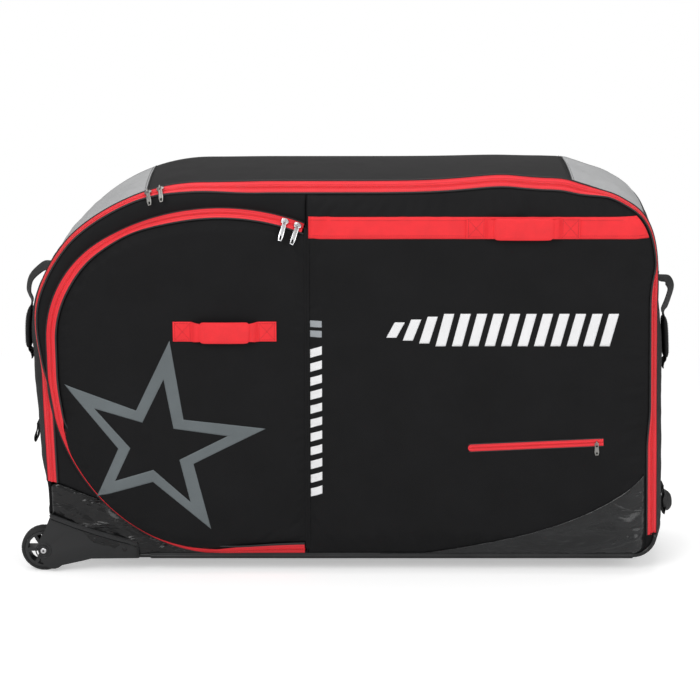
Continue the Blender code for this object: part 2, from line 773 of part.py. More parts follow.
# A carry handle: sewn flat at both ends, bowed off the panel between, grip in the middle
def carry_handle(name, cx, cz, length, base_y):
    y = base_y - GAP - WEB_T / 2
    shares = [-1, -1 + 2 * HANDLE_SEWN / length]
    path = [Vector((cx + length / 2 * u, y, cz)) for u in shares]
    free = length - 2 * HANDLE_SEWN
    for k in range(1, 14):
        t = k / 14
        lift = HANDLE_BOW * math.sin(math.pi * min(t, 1 - t)) ** (1 / 2) if t not in (0, 1) else 0.0
        path.append(Vector((cx - free / 2 + free * t, y - lift, cz)))
    path += [Vector((cx + length / 2 * u, y, cz)) for u in (-shares[1], 1)]
    strap(name + "_strap", path, ALONG_Z, HANDLE_W, WEB_T, "red_web")
    middle = path[5:12]
    grip(name + "_grip", middle, ALONG_Z, GRIP_W, GRIP_T, HANDLE_W + 2 * GAP,
         WEB_T + 2 * GAP, "red_web")


carry_handle("band_handle", BAND_HANDLE_X, band_z, BAND_HANDLE_L, band_y - WEB_T / 2)
carry_handle("door_handle", DOOR_HANDLE_X, BASE_Z + DOOR_HANDLE_Z, DOOR_HANDLE_L, PLATEAU_Y)

# Small front pocket: its zip tape on the panel and its pouch behind
tilt_small = Vector((math.cos(SMALL_TILT), 0.0, math.sin(SMALL_TILT)))
up_small = Vector((-math.sin(SMALL_TILT), 0.0, math.cos(SMALL_TILT)))
small_centre = Vector((SMALL_X, PLATEAU_Y - GAP - TAPE_T / 2, BASE_Z + SMALL_Z))
small_ends = [small_centre - tilt_small * SMALL_L / 2, small_centre + tilt_small * SMALL_L / 2]
strap("small_pocket_zip", small_ends, up_small, SMALL_H, TAPE_T, "red_tape")
pouch_y = FRONT_Y + PANEL_T + GAP
pouch_high = BASE_Z + SMALL_Z + SMALL_H
finish_mesh("small_pocket_pouch", box_bmesh(
    (SMALL_X - SMALL_L / 2, pouch_y, pouch_high - POUCH_DROP),
    (SMALL_X + SMALL_L / 2, pouch_y + POUCH_T, pouch_high)), "lining")


# Coated patch over the lower right of the flap, from its lower edge to a rising curve
def patch_columns():
    rows = []
    first = PATCH_START_X
    last = RIGHT_FOOT - FOOT_R
    for k in range(15):
        x = blend(first, last, k / 14)
        rise = PATCH_RISE * max((x - PATCH_START_X) / (PATCH_END_X - PATCH_START_X), 0) ** PATCH_POWER_SHARE
        top = FLAP_LOW + max(rise, SHOULDER_FAR + PATCH_LEAST)
        line_points = [(FLAP_LOW, 0.0), (FLAP_LOW + SHOULDER_NEAR, CROWN * CROWN_NEAR_SHARE),
                       (FLAP_LOW + SHOULDER_FAR, CROWN), (top, CROWN)]
        near = [Vector((x, FRONT_Y - h - GAP * 2, z - GAP)) for z, h in line_points]
        far = [p + Vector((0, -PATCH_T, 0)) for p in near]
        rows.append(near + far[::-1])
    return rows


loft("corner_patch_right", patch_columns(), "black_coated")


# The rear wheel sits a little further in than the front one
def shift(side):
    return 0.0 if side > 0 else REAR_SHIFT


# Wheel housings: a side plate with a lobe round the axle, an arch and an inner cheek
def housing_outline(side):
    points = [(HOUSING_TAIL_X, BASE_Z), (HOUSING_TAIL_X, BASE_Z + HOUSING_TAIL_Z)]
    for share in (1 / 4, 1 / 2, 3 / 4, 1):
        x = blend(HOUSING_TAIL_X, HOUSING_PEAK_X, share)
        sag = HOUSING_LIP * math.sin(math.pi * share)
        points.append((x, BASE_Z + blend(HOUSING_TAIL_Z, HOUSING_PEAK_Z, share) - sag))
    for k in range(13):
        t = blend(math.radians(125), math.radians(305), k / 12)
        points.append((LOBE_X + LOBE_RUN * math.cos(t), BASE_Z + LOBE_Z + LOBE_RISE * math.sin(t)))
    points.append((HOUSING_LOW_X - HOUSING_PLATE * 3, BASE_Z - HOUSING_PLATE))
    points.append((HOUSING_LOW_X, BASE_Z - HOUSING_PLATE / 5))
    return [(x + shift(side), z) for x, z in points]


def cylinder_bmesh(cx, cz, radius, y0, y1, count):
    return prism_bmesh(disc_outline(cx, cz, radius, count), y0, y1)


def housing(side):
    name = "wheel_housing_" + ("front" if side > 0 else "rear")
    face = FRONT_Y if side > 0 else BACK_Y + CROWN / 2 + GAP

    def y(v):
        return face + side * v
    shape = housing_outline(side)
    hub_x = WHEEL_X + shift(side)
    plate_out = -GAP - HOUSING_PLATE
    body = finish_mesh(name, prism_bmesh(shape, y(plate_out), y(HOUSING_DEPTH - HOUSING_PLATE)), "plastic")
    ramp_low = inset(SPAN["ramp"][0], -GAP)
    ramp_high = inset(0, -GAP)
    far_x = HOUSING_TAIL_X + shift(side) + OVERRUN
    far_z = BASE_Z + HOUSING_PEAK_Z + OVERRUN
    ramp_slope = (ramp_high[0] - ramp_low[0]) / (ramp_high[1] - ramp_low[1])
    bag = [(far_x, BASE_Z - GAP), (far_x, far_z), (ramp_high[0] + ramp_slope * (far_z - ramp_high[1]), far_z),
           (ramp_high[0], ramp_high[1]), (ramp_low[0] - GAP, BASE_Z - GAP)]
    combine(body, prism_bmesh(bag, y(-GAP), y(HOUSING_DEPTH)), "DIFFERENCE")
    under = [(far_x, BASE_Z - HOUSING_PLATE * 2), (far_x, BASE_Z), (RAMP_FOOT_X + OVERRUN, BASE_Z),
             (RAMP_FOOT_X + OVERRUN, BASE_Z - HOUSING_PLATE * 2)]
    combine(body, prism_bmesh(under, y(-GAP), y(HOUSING_DEPTH)), "DIFFERENCE")
    well = cylinder_bmesh(hub_x, WHEEL_Z, WHEEL_R + WHEEL_GAP, y(-GAP), y(WELL_WIDTH - GAP), 32)
    combine(body, well, "DIFFERENCE")
    bore = cylinder_bmesh(hub_x, WHEEL_Z, AXLE_R + GAP, y(plate_out - OVERRUN), y(HOUSING_DEPTH), 16)
    combine(body, bore, "DIFFERENCE")
    slope_line = shape[1:6]
    low_line = [(x, z - HOUSING_LIP_H) for x, z in reversed(slope_line)]
    lip = prism_bmesh(slope_line + low_line, y(plate_out - HOUSING_LIP), y(plate_out + HOUSING_PLATE / 2))
    combine(body, lip, "UNION")
    look(body, "plastic")
    rivet_x, rivet_y = RIVET_X + shift(side), y(plate_out)
    rivet = [Vector((p[0], rivet_y - side * GAP, p[1])) for p in disc_outline(rivet_x, BASE_Z + RIVET_Z, RIVET_R, 14)]
    crown = [Vector((p[0], rivet_y - side * (GAP + RIVET_H), p[1]))
             for p in disc_outline(rivet_x, BASE_Z + RIVET_Z, RIVET_R * 3 / 5, 14)]
    loft("housing_rivet_" + ("front" if side > 0 else "rear"), [rivet, crown], "silver")
    return plate_out, y


# An axle with a round head outside the side plate
def axle(side, plate_out, y):
    name = "axle_" + ("front" if side > 0 else "rear")
    hub_x = WHEEL_X + shift(side)
    rows = []
    for v, r in ((plate_out - GAP - AXLE_HEAD_T, AXLE_HEAD_R * 4 / 5), (plate_out - GAP - AXLE_HEAD_T / 2, AXLE_HEAD_R),
                 (plate_out - GAP, AXLE_HEAD_R), (plate_out - GAP, AXLE_R), (HOUSING_DEPTH - HOUSING_PLATE + OVERRUN / 4, AXLE_R)):
        rows.append([Vector((p[0], y(v), p[1])) for p in disc_outline(hub_x, WHEEL_Z, r, 16)])
    loft(name, rows, "silver")


# A wheel: soft tyre on a rim with open spokes, turning on the axle
def wheel(side, y):
    tag = "front" if side > 0 else "rear"
    y0, y1 = y(WHEEL_GAP - GAP), y(WHEEL_GAP - GAP + WHEEL_WIDTH)
    mid = (y0 + y1) / 2
    half_w = WHEEL_WIDTH / 2
    hub_x = WHEEL_X + shift(side)
    origin = (hub_x, mid, WHEEL_Z)
    rows = []
    bead = WHEEL_R - TYRE_THICKNESS
    for k in range(28):
        t = math.tau * k / 28
        row = []
        for r, v in ((bead, -half_w), (WHEEL_R - TYRE_THICKNESS / 3, -half_w), (WHEEL_R, -half_w / 2),
                     (WHEEL_R, half_w / 2), (WHEEL_R - TYRE_THICKNESS / 3, half_w), (bead, half_w)):
            row.append(Vector((hub_x + r * math.cos(t), mid + v, WHEEL_Z + r * math.sin(t))))
        rows.append(row)
    loft("wheel_tyre_" + tag, rows, "rubber", ring=True, origin=origin)
    rim_r = (bead - GAP) * math.cos(math.pi / 28)
    rim = finish_mesh("wheel_rim_" + tag, cylinder_bmesh(hub_x, WHEEL_Z, rim_r, y0, y1, 28), "plastic", origin)
    rim.location = (0, 0, 0)
    rim.data.transform(Matrix.Translation(origin))
    rim_in = rim_r - TYRE_THICKNESS * 3 / 4
    for k in range(SPOKE_COUNT):
        a = math.tau * k / SPOKE_COUNT
        b = math.tau * (k + 1) / SPOKE_COUNT
        outline = []
        for r, m in ((rim_in, (0, 1 / 3, 2 / 3, 1)), (HUB_R, (1, 0))):
            near = SPOKE_WIDTH / 2 / r
            for share in m:
                t = blend(a + near, b - near, share)
                outline.append((hub_x + r * math.cos(t), WHEEL_Z + r * math.sin(t)))
        low, high = min(y0, y1) - OVERRUN, max(y0, y1) + OVERRUN
        combine(rim, prism_bmesh(outline, low, high), "DIFFERENCE")
    bore = cylinder_bmesh(hub_x, WHEEL_Z, AXLE_R + GAP, min(y0, y1) - OVERRUN, max(y0, y1) + OVERRUN, 16)
    combine(rim, bore, "DIFFERENCE")
    rim.data.transform(Matrix.Translation(-Vector(origin)))
    rim.location = origin
    look(rim, "plastic")


for facing in (1, -1):
    plate_face, depth_at = housing(facing)
    axle(facing, plate_face, depth_at)
    wheel(facing, depth_at)


# Where an end wall lies, half way back
def end_x(side, z):
    first, last = ("left_end", "left_corner") if side < 0 else ("right_corner", "right_end")
    run = []
    for i in around(first, last):
        (x, z_i), (nx, nz) = OUTLINE[i], NORMALS[i]
        if abs(nx) > 1 / 2:
            run.append((x + (belly(i) + growth(i) * 3 / 5) / nx, z_i))
    best = None
    for a, b in zip(run, run[1:]):
        low, high = min(a[1], b[1]), max(a[1], b[1])
        if low <= z <= high:
            best = blend(a[0], b[0], (z - a[1]) / (b[1] - a[1]))
    return best


# End handle: webbing that bows out above and runs down through a padded grip
def end_handle(side, top, low):
    tag = "left" if side < 0 else "right"

    def at(out, z):
        return Vector((end_x(side, z) + side * (out + END_WEB_T / 2 + GAP * 2), MID_Y, z))
    height = top - low
    top_z, low_z = BASE_Z + top, BASE_Z + low
    path = [at(0.0, top_z + END_STRAP_TAIL), at(0.0, top_z + END_WEB_T), at(END_BOW * 3 / 5, top_z - height / 8),
            at(END_BOW, top_z - height * 3 / 8), at(END_BOW * 3 / 4, top_z - height * 3 / 4),
            at(END_GRIP_T / 4, low_z)]
    seat = END_GRIP_T / 2 - END_WEB_T / 2
    grip_top = low_z - END_BOW / 3
    for k in range(5):
        path.append(at(seat, grip_top - END_GRIP_L * k / 4))
    path.append(at(0.0, grip_top - END_GRIP_L - END_STRAP_TAIL / 2))
    path.append(at(0.0, grip_top - END_GRIP_L - END_STRAP_TAIL))
    strap("end_strap_" + tag, path, ALONG_Y, END_WEB_W, END_WEB_T, "black_web")
    sleeve = path[6:11]
    sleeve[0] = sleeve[0].lerp(sleeve[1], 1 / 8)
    sleeve[-1] = sleeve[-1].lerp(sleeve[-2], 1 / 8)
    sleeve = [p + Vector((side * GAP, 0, 0)) for p in sleeve]
    grip("end_grip_" + tag, sleeve, ALONG_Y, END_WEB_W + END_GRIP_T / 2, END_GRIP_T,
         END_WEB_W + 4 * GAP, END_WEB_T + 4 * GAP, "fabric")


end_handle(-1, LEFT_BOW_TOP, LEFT_BOW_LOW)
end_handle(1, RIGHT_BOW_TOP, RIGHT_BOW_LOW)


# Folded webbing tab, sewn to the end wall
def pull_tab(side, centre):
    tag = "left" if side < 0 else "right"
    z0, z1 = BASE_Z + centre - TAB_L / 2, BASE_Z + centre + TAB_L / 2
    rows = []
    for share, out in ((0, 1 / 4), (1 / 6, 1), (1 / 3, 1), (2 / 3, 1 / 2), (1, 1 / 5)):
        z = blend(z0, z1, share)
        near = end_x(side, z) + side * GAP * 3
        far = near + side * TAB_OUT * out
        w = END_WEB_W / 2
        rows.append([Vector((near, MID_Y - w, z)), Vector((near, MID_Y + w, z)),
                     Vector((far, MID_Y + w, z)), Vector((far, MID_Y - w, z))])
    loft("end_tab_" + tag, rows, "black_web")


pull_tab(-1, LEFT_TAB_Z)
pull_tab(1, RIGHT_TAB_Z)

# Stiffening board on the base
board_low = (RAMP_FOOT_X + BOARD_MARGIN, FRONT_Y + LINER_DEPTH + WALL, BASE_Z + WALL + GAP)
board_high = (RIGHT_FOOT - BOARD_MARGIN, BACK_Y - WALL - GAP, BASE_Z + WALL + GAP + BOARD_T)
finish_mesh("base_board", box_bmesh(board_low, board_high), "plastic")


# Tie-down straps and buckles on the inside of the back panel
def tie_down(tag, x):
    y = BACK_Y - WALL - GAP - WEB_T / 2
    path = [Vector((x, y, BASE_Z + STRAP_LOW)), Vector((x, y, BASE_Z + STRAP_HIGH))]
    strap("tie_strap_" + tag, path, ALONG_X, STRAP_W, WEB_T, "black_web")
    near = y - WEB_T / 2 - GAP
    z = BASE_Z + BUCKLE_Z
    outline = []
    for u, v in ((-1, -1), (1, -1), (1, 1 / 5), (2 / 3, 1 / 3), (2 / 3, 1), (-2 / 3, 1), (-2 / 3, 1 / 3), (-1, 1 / 5)):
        outline.append((x + BUCKLE_W / 2 * u, z + BUCKLE_L / 2 * v))
    finish_mesh("tie_buckle_" + tag, prism_bmesh(outline, near - BUCKLE_T, near), "plastic", smooth=False)


tie_down("left", -STRAP_X)
tie_down("right", STRAP_X)


# Zip slider: a body plate over the chain with an arch that holds the pull's bar
def slider_mesh():
    w0 = CHAIN_T + GAP
    plate = []
    for u, v in ((-1, -2 / 3), (-3 / 4, -1), (1 / 2, -1), (1, -1 / 3), (1, 1 / 3), (1 / 2, 1), (-3 / 4, 1), (-1, 2 / 3)):
        plate.append((SLIDER_L / 2 * u, SLIDER_W / 2 * v))
    low = [Vector((u, v, w0)) for u, v in plate]
    high = [Vector((u, v, w0 + SLIDER_T)) for u, v in plate]
    obj = finish_mesh("slider_form", loft_bmesh([low, high]), "silver")
    foot, rise = w0 + SLIDER_T / 2, w0 + SLIDER_T + ARCH_H
    span, t = ARCH_SPAN / 2, ARCH_T
    profile = [(-span, foot), (-span, rise - t), (-span + t, rise), (span - t, rise), (span, rise - t), (span, foot),
               (span - t, foot), (span - t, rise - t), (-span + t, rise - t), (-span + t, foot)]
    arch = loft_bmesh([[Vector((u, v, w)) for v, w in profile] for u in (-ARCH_W / 2, ARCH_W / 2)])
    combine(obj, arch, "UNION")
    mesh = obj.data
    bpy.data.objects.remove(obj, do_unlink=True)
    return mesh


BAR_W = CHAIN_T + GAP + SLIDER_T + (ARCH_H - ARCH_T) / 2


# Pull: a bar under the arch, two rails round its leg and a tapered tab with a hole
def pull_mesh(length):
    half_bar = PULL_EYE_W / 2 + PULL_T / 2
    eye = PULL_EYE + ARCH_W / 2
    half_t = PULL_T / 2
    tab = [(-half_bar - half_t, PULL_BAR_R), (half_bar + half_t, PULL_BAR_R), (PULL_TOP_W / 2, -eye),
           (PULL_W / 2, -length * 3 / 4), (PULL_W / 3, -length), (-PULL_W / 3, -length),
           (-PULL_W / 2, -length * 3 / 4), (-PULL_TOP_W / 2, -eye)]
    rows = [[Vector((u, v, w)) for u, v in tab] for w in (-PULL_BAR_R, PULL_BAR_R)]
    obj = finish_mesh("pull_form", loft_bmesh(rows), "silver")
    hole = [(-PULL_EYE_W / 2, -PULL_BAR_R), (PULL_EYE_W / 2, -PULL_BAR_R),
            (PULL_EYE_W / 2, -eye), (-PULL_EYE_W / 2, -eye)]
    cut = loft_bmesh([[Vector((u, v, w)) for u, v in hole] for w in (-OVERRUN, OVERRUN)])
    combine(obj, cut, "DIFFERENCE")
    slot = [(-PULL_W / 5, -length * 3 / 4), (PULL_W / 5, -length * 3 / 4),
            (PULL_W / 5, -length + PULL_W / 4), (-PULL_W / 5, -length + PULL_W / 4)]
    cut = loft_bmesh([[Vector((u, v, w)) for u, v in slot] for w in (-OVERRUN, OVERRUN)])
    combine(obj, cut, "DIFFERENCE")
    mesh = obj.data
    bpy.data.objects.remove(obj, do_unlink=True)
    return mesh


SLIDERS = {}
SLIDER_MESH = slider_mesh()
PULL_MESH = pull_mesh(PULL_L)
SMALL_PULL_MESH = pull_mesh(SMALL_PULL_L)


def zip_slider(name, centre, along_zip, out, kind, mesh=None, lean=PULL_LEAN):
    along_zip, out = along_zip.normalized(), out.normalized()
    across = out.cross(along_zip)
    turn = Matrix((along_zip, across, out)).transposed()
    place = Matrix.Translation(centre) @ turn.to_4x4()
    body = bpy.data.objects.new(name + "_slider", SLIDER_MESH.copy())
    body.matrix_world = place
    pull = bpy.data.objects.new(name + "_pull", (mesh or PULL_MESH).copy())
    pull.matrix_world = place @ Matrix.Translation((0, 0, BAR_W)) @ Matrix.Rotation(lean, 4, "X")
    SLIDERS[name] = (centre, along_zip, out)
    for obj in (body, pull):
        bpy.context.scene.collection.objects.link(obj)
        look(obj, kind)


# Main zip sliders on the left corner's arc
def corner_frame(angle):
    cx, cz = -LEFT_SHOULDER + LEFT_CORNER_R, BASE_Z + CASE_HEIGHT - LEFT_CORNER_DROP
    n = Vector((-math.sin(angle), 0.0, math.cos(angle)))
    lean = TILT_CORNER
    edge = Vector((cx, 0.0, cz)) + n * LEFT_CORNER_R + Vector((0, FRONT_Y + TAPE_WIDTH * math.cos(lean), 0))
    across = -n * math.sin(lean) + Vector((0, -math.cos(lean), 0))
    out = n * math.cos(lean) + Vector((0, -math.sin(lean), 0))
    zip_dir = Vector((math.cos(angle), 0.0, math.sin(angle)))
    return edge + across * HALF_TAPE, zip_dir, out


for tag, turn_by in (("main_left", 0.0), ("main_right", -SLIDER_SPACING / LEFT_CORNER_R)):
    spot, zip_dir, out_dir = corner_frame(LEFT_SLIDER_ANGLE + turn_by)
    zip_slider(tag, spot, zip_dir, out_dir, "gunmetal")


# Pocket zip sliders near the top end of the seam
def pocket_arc_frame(x):
    cz = BASE_Z + POCKET_TOP - POCKET_TOP_R
    angle = -math.asin((x - POCKET_X) / POCKET_TOP_R)
    n = Vector((-math.sin(angle), 0.0, math.cos(angle)))
    across = (-n * POCKET_TAPE_RUN + Vector((0, -CROWN, 0))) / slope
    out = (n * CROWN + Vector((0, -POCKET_TAPE_RUN, 0))) / slope
    edge = Vector((POCKET_X, FRONT_Y, cz)) + n * POCKET_TOP_R
    return edge + across * slope / 2, Vector((math.cos(angle), 0.0, math.sin(angle))), out


right_x = SEAM_X - END_STOP * 2 - SLIDER_L / 2
for tag, x in (("pocket_right", right_x), ("pocket_left", right_x - SLIDER_SPACING)):
    spot, zip_dir, out_dir = pocket_arc_frame(x)
    zip_slider(tag, spot, zip_dir, out_dir, "silver")

# Slider of the small pocket, at the right end of its zip
small_spot = small_centre + tilt_small * (SMALL_L / 2 - SLIDER_L) + Vector((0, CHAIN_T - TAPE_T / 2 - GAP * 2, 0))
zip_slider("small", small_spot, tilt_small, Vector((0, -1, 0)), "gunmetal", SMALL_PULL_MESH, 0.0)
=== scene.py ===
# A soft travel bag for a bicycle, dressed for the camera round its imported solids. The
# sections follow the bag as it is sewn together. Every piece rides on one of its bodies,
# apart from two hinge strips, which ride on none.
import math

import bmesh
import bpy
import numpy as np
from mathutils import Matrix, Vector, noise
from mathutils.bvhtree import BVHTree


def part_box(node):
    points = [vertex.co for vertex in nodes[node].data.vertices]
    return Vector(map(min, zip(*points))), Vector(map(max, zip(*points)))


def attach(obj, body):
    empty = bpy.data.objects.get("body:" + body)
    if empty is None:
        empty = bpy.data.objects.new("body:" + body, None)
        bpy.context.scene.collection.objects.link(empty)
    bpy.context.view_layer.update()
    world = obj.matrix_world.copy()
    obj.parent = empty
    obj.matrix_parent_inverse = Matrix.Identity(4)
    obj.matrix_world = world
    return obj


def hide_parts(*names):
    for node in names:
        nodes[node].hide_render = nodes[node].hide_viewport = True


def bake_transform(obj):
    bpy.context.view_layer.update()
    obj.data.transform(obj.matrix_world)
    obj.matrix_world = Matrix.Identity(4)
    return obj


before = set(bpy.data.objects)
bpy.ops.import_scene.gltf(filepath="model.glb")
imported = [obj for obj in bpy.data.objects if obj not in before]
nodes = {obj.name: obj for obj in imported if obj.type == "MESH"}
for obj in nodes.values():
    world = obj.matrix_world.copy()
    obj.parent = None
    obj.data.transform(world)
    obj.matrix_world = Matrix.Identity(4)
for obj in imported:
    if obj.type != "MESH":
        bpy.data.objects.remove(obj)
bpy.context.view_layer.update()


# The studio: a pale floor that keeps the bag's shadow, a white surround for the camera
# and for reflections, and three soft lamps. The camera stands over four metres away
# and looks down by some 15 degrees.
EYE = Vector((0.0, -4.28, 1.6135))
EYE_TILT = math.radians(74.8)
LENS = 107.9
FLOOR_HALF = 14.0
LAMP_AIM = (0.0, 0.0, 0.35)
WHITE = (1.0, 1.0, 1.0, 1.0)


def put(tree, kind, *feeds, **settings):
    """A new node. Each feed is (socket, value), where a node stands for its first output."""
    node = tree.nodes.new(kind)
    for key, value in settings.items():
        setattr(node, key, value)
    for socket, value in feeds:
        if isinstance(value, bpy.types.Node):
            value = value.outputs[0]
        if isinstance(value, bpy.types.NodeSocket):
            tree.links.new(value, node.inputs[socket])
        else:
            node.inputs[socket].default_value = value
    return node


def stand(name, data):
    obj = bpy.data.objects.new(name, data)
    bpy.context.scene.collection.objects.link(obj)
    return obj


def studio():
    camera = stand("camera", bpy.data.cameras.new("camera"))
    camera.location = EYE
    camera.rotation_euler = (EYE_TILT, 0.0, 0.0)
    camera.data.lens = LENS
    camera.data.clip_end = 60.0
    bpy.context.scene.camera = camera

    mesh = bpy.data.meshes.new("floor")
    h = FLOOR_HALF
    mesh.from_pydata([(-h, -h, 0), (h, -h, 0), (h, h, 0), (-h, h, 0)], [], [(0, 1, 2, 3)])
    floor = stand("floor", mesh)
    mat = bpy.data.materials.new("studio_floor")
    mat.use_nodes = True
    tree = mat.node_tree
    tree.nodes.clear()
    matt = put(tree, "ShaderNodeBsdfDiffuse", ("Color", (0.80, 0.80, 0.80, 1.0)))
    glow = put(tree, "ShaderNodeEmission", ("Color", WHITE), ("Strength", 0.42))
    both = put(tree, "ShaderNodeAddShader", (0, matt), (1, glow))
    place = put(tree, "ShaderNodeTexCoord")
    apart = put(tree, "ShaderNodeVectorMath", (0, place.outputs["Object"]), operation="LENGTH")
    away = put(tree, "ShaderNodeMapRange", ("Value", apart.outputs["Value"]),
               ("From Min", 0.75), ("From Max", 1.9), interpolation_type="SMOOTHSTEP")
    white = put(tree, "ShaderNodeEmission", ("Color", WHITE), ("Strength", 1.0))
    fade = put(tree, "ShaderNodeMixShader", (0, away), (1, both), (2, white))
    ray = put(tree, "ShaderNodeLightPath")
    pick = put(tree, "ShaderNodeMixShader", (0, ray.outputs["Is Camera Ray"]),
               (1, matt), (2, fade))
    put(tree, "ShaderNodeOutputMaterial", ("Surface", pick))
    mesh.materials.append(mat)

    world = bpy.data.worlds.new("studio_air")
    bpy.context.scene.world = world
    world.use_nodes = True
    tree = world.node_tree
    tree.nodes.clear()
    soft = put(tree, "ShaderNodeBackground", ("Color", WHITE), ("Strength", 0.5))
    white = put(tree, "ShaderNodeBackground", ("Color", WHITE), ("Strength", 1.0))
    ray = put(tree, "ShaderNodeLightPath")
    seen = put(tree, "ShaderNodeMath", (0, ray.outputs["Is Camera Ray"]),
               (1, ray.outputs["Is Transmission Ray"]), operation="MAXIMUM")
    pick = put(tree, "ShaderNodeMixShader", (0, seen),
               (1, soft), (2, white))
    put(tree, "ShaderNodeOutputWorld", ("Surface", pick))

    lamps = (
        ("key_lamp", (-1.9, -3.1, 3.0), 2.2, 78.0),
        ("fill_lamp", (2.6, -3.0, 1.9), 2.4, 46.0),
        ("top_lamp", (0.0, 0.6, 3.2), 2.6, 40.0),
    )
    for name, place, size, power in lamps:
        lamp = stand(name, bpy.data.lights.new(name, "AREA"))
        lamp.location = place
        aim = Vector(LAMP_AIM) - Vector(place)
        lamp.rotation_mode = "QUATERNION"
        lamp.rotation_quaternion = aim.to_track_quat("-Z", "Y")
        lamp.data.shape = "SQUARE"
        lamp.data.size = size
        lamp.data.energy = power
    bpy.context.scene.view_settings.view_transform = "Standard"


studio()


# The fabric walls: a padded strip sewn round the case, black on top and at the ends,
# grey coated tarpaulin at the two upper corners. The black cloth on top is painted
# lighter than at the ends, as painted light from above. The strip swells a little half
# way back, and the tarpaulin pulls into deeper folds than the cloth.
FRONT, BACK = -0.125, 0.145
BASE = 0.0315
CASE_H = 0.798
WALL = 0.008
GAP = 0.0003
TAPE_W = 0.026
LEFT_FOOT_X, LEFT_SHOULDER_X = -0.631, -0.638
RIGHT_FOOT_X, RIGHT_SHOULDER_X = 0.6455, 0.629
CORNER_L = 0.342
CORNER_R_RUN, CORNER_R_DROP, CORNER_R_POWER = 0.225, 0.250, 3.1
FOOT_R = 0.050
RAMP_TOP, RAMP_X = 0.092, -0.526
ZIP_START_Z = 0.165
CROWN_RISE = 0.0042


def mix(a, b, t):
    return a + (b - a) * t


def between(a, b, t):
    return tuple(mix(p, q, t) for p, q in zip(a, b))


def lookup(pairs, at):
    """Reads a table of (place, value) pairs between its rows."""
    return float(np.interp(at, *zip(*pairs)))


def full_turn(count):
    return [math.tau * n / count for n in range(count)]


def circle(centre, radius, count):
    return [(centre[0] + radius * math.cos(a), centre[1] + radius * math.sin(a)) for a in full_turn(count)]


def squircle(wide, high, count, wide_power, high_power):
    """A closed section between an oval and a rectangle."""
    def rounded(v, power):
        return math.copysign(abs(v) ** power, v)
    return [(wide * rounded(math.cos(a), wide_power), high * rounded(math.sin(a), high_power))
            for a in full_turn(count)]


def ease(t):
    t = min(max(t, 0.0), 1.0)
    return t * t * (3 - 2 * t)


def beside(line, k):
    """The places before and after one in a line, which ends at its ends."""
    return line[max(k - 1, 0)], line[min(k + 1, len(line) - 1)]


def swelling(z):
    """The upper left of the front edge stands out, so that the zip lies on the silhouette."""
    return 0.0196 * ease((z - 0.42) / 0.19) * ease((0.835 - z) / 0.13)


def outline_part(part, t):
    left_top = (LEFT_SHOULDER_X, BASE + CASE_H - CORNER_L)
    if part == "left_end":
        x, z = mix(LEFT_FOOT_X, left_top[0], t), mix(BASE + RAMP_TOP, left_top[1], t)
        return (x - swelling(z), z)
    if part == "left_corner":
        turn = math.pi / 2 * t
        z = left_top[1] + CORNER_L * math.sin(turn)
        return (left_top[0] + CORNER_L * (1 - math.cos(turn)) - swelling(z), z)
    if part == "top":
        x = mix(left_top[0] + CORNER_L, RIGHT_SHOULDER_X - CORNER_R_RUN, t)
        crest = 0.0125 * math.sin(math.pi * t ** 4.6) ** 2 + CROWN_RISE * ease(t * 5)
        return (x, BASE + CASE_H + crest + 0.006 * ease(t * 10 - 9))
    if part == "right_corner":
        turn, power = math.pi / 2 * t, 2 / CORNER_R_POWER
        x = RIGHT_SHOULDER_X - CORNER_R_RUN * (1 - math.sin(turn) ** power)
        rise, run = math.cos(turn) ** power if t < 1 else 0.0, math.sin(turn) ** power
        sag = 0.0140 * ease((run - 0.1) / 0.4) * ease((1 - run) / 0.34) - 0.006 * (1 - ease(run / 0.3))
        return (x, BASE + CASE_H + CROWN_RISE * rise - sag - CORNER_R_DROP * (1 - rise))
    if part == "right_end":
        x = mix(RIGHT_SHOULDER_X, RIGHT_FOOT_X, t)
        return (x, mix(BASE + CASE_H - CORNER_R_DROP, BASE + FOOT_R, t))
    if part == "right_foot":
        turn = math.pi / 2 * t
        return (RIGHT_FOOT_X - FOOT_R * (1 - math.cos(turn)), BASE + FOOT_R * (1 - math.sin(turn)))
    if part == "base":
        return (mix(RIGHT_FOOT_X - FOOT_R, RAMP_X, t), BASE)
    return (mix(RAMP_X, LEFT_FOOT_X, t), mix(BASE, BASE + RAMP_TOP, t))


def lean(part, t):
    """How far the zip tape has turned from facing outward to facing the front."""
    low, corner, level, top, right, side, wide = (math.radians(a) for a in (45, 17, 36, 56, 14, 38, 57))
    if part == "left_end":
        share = (outline_part(part, t)[1] - BASE) / (CASE_H - CORNER_L)
        return mix(mix(low, wide, ease(share * 12)), corner, ease((share - 0.7) * 4))
    if part == "left_corner":
        return mix(corner, level, ease((t - 0.72) * 4))
    if part == "top":
        return mix(level, top, ease(t * 6))
    if part == "right_corner":
        return mix(mix(top, right, ease(t * 4)), side, ease((t - 0.87) / 0.13))
    if part == "right_end":
        return mix(side, wide, ease((t - 0.43) * 5))
    if part == "right_foot":
        return mix(wide, low, ease(t * 1.5))
    return low


PARTS = (("left_end", 54), ("left_corner", 84), ("top", 90), ("right_corner", 60),
         ("right_end", 72), ("right_foot", 12), ("base", 140), ("ramp", 14))
EDGE, LEAN, SPAN = [], [], {}
for part_name, steps in PARTS:
    SPAN[part_name] = (len(EDGE), len(EDGE) + steps)
    for step in range(steps):
        EDGE.append(outline_part(part_name, step / steps))
        LEAN.append(lean(part_name, step / steps))
TURNS = len(EDGE)
OUTWARD, ALONG = [], [0.0]
for i in range(TURNS):
    (ax, az), (bx, bz) = EDGE[i - 1], EDGE[(i + 1) % TURNS]
    size = math.hypot(bx - ax, bz - az)
    OUTWARD.append((-(bz - az) / size, (bx - ax) / size))
    ALONG.append(ALONG[-1] + math.dist(EDGE[i], EDGE[(i + 1) % TURNS]))


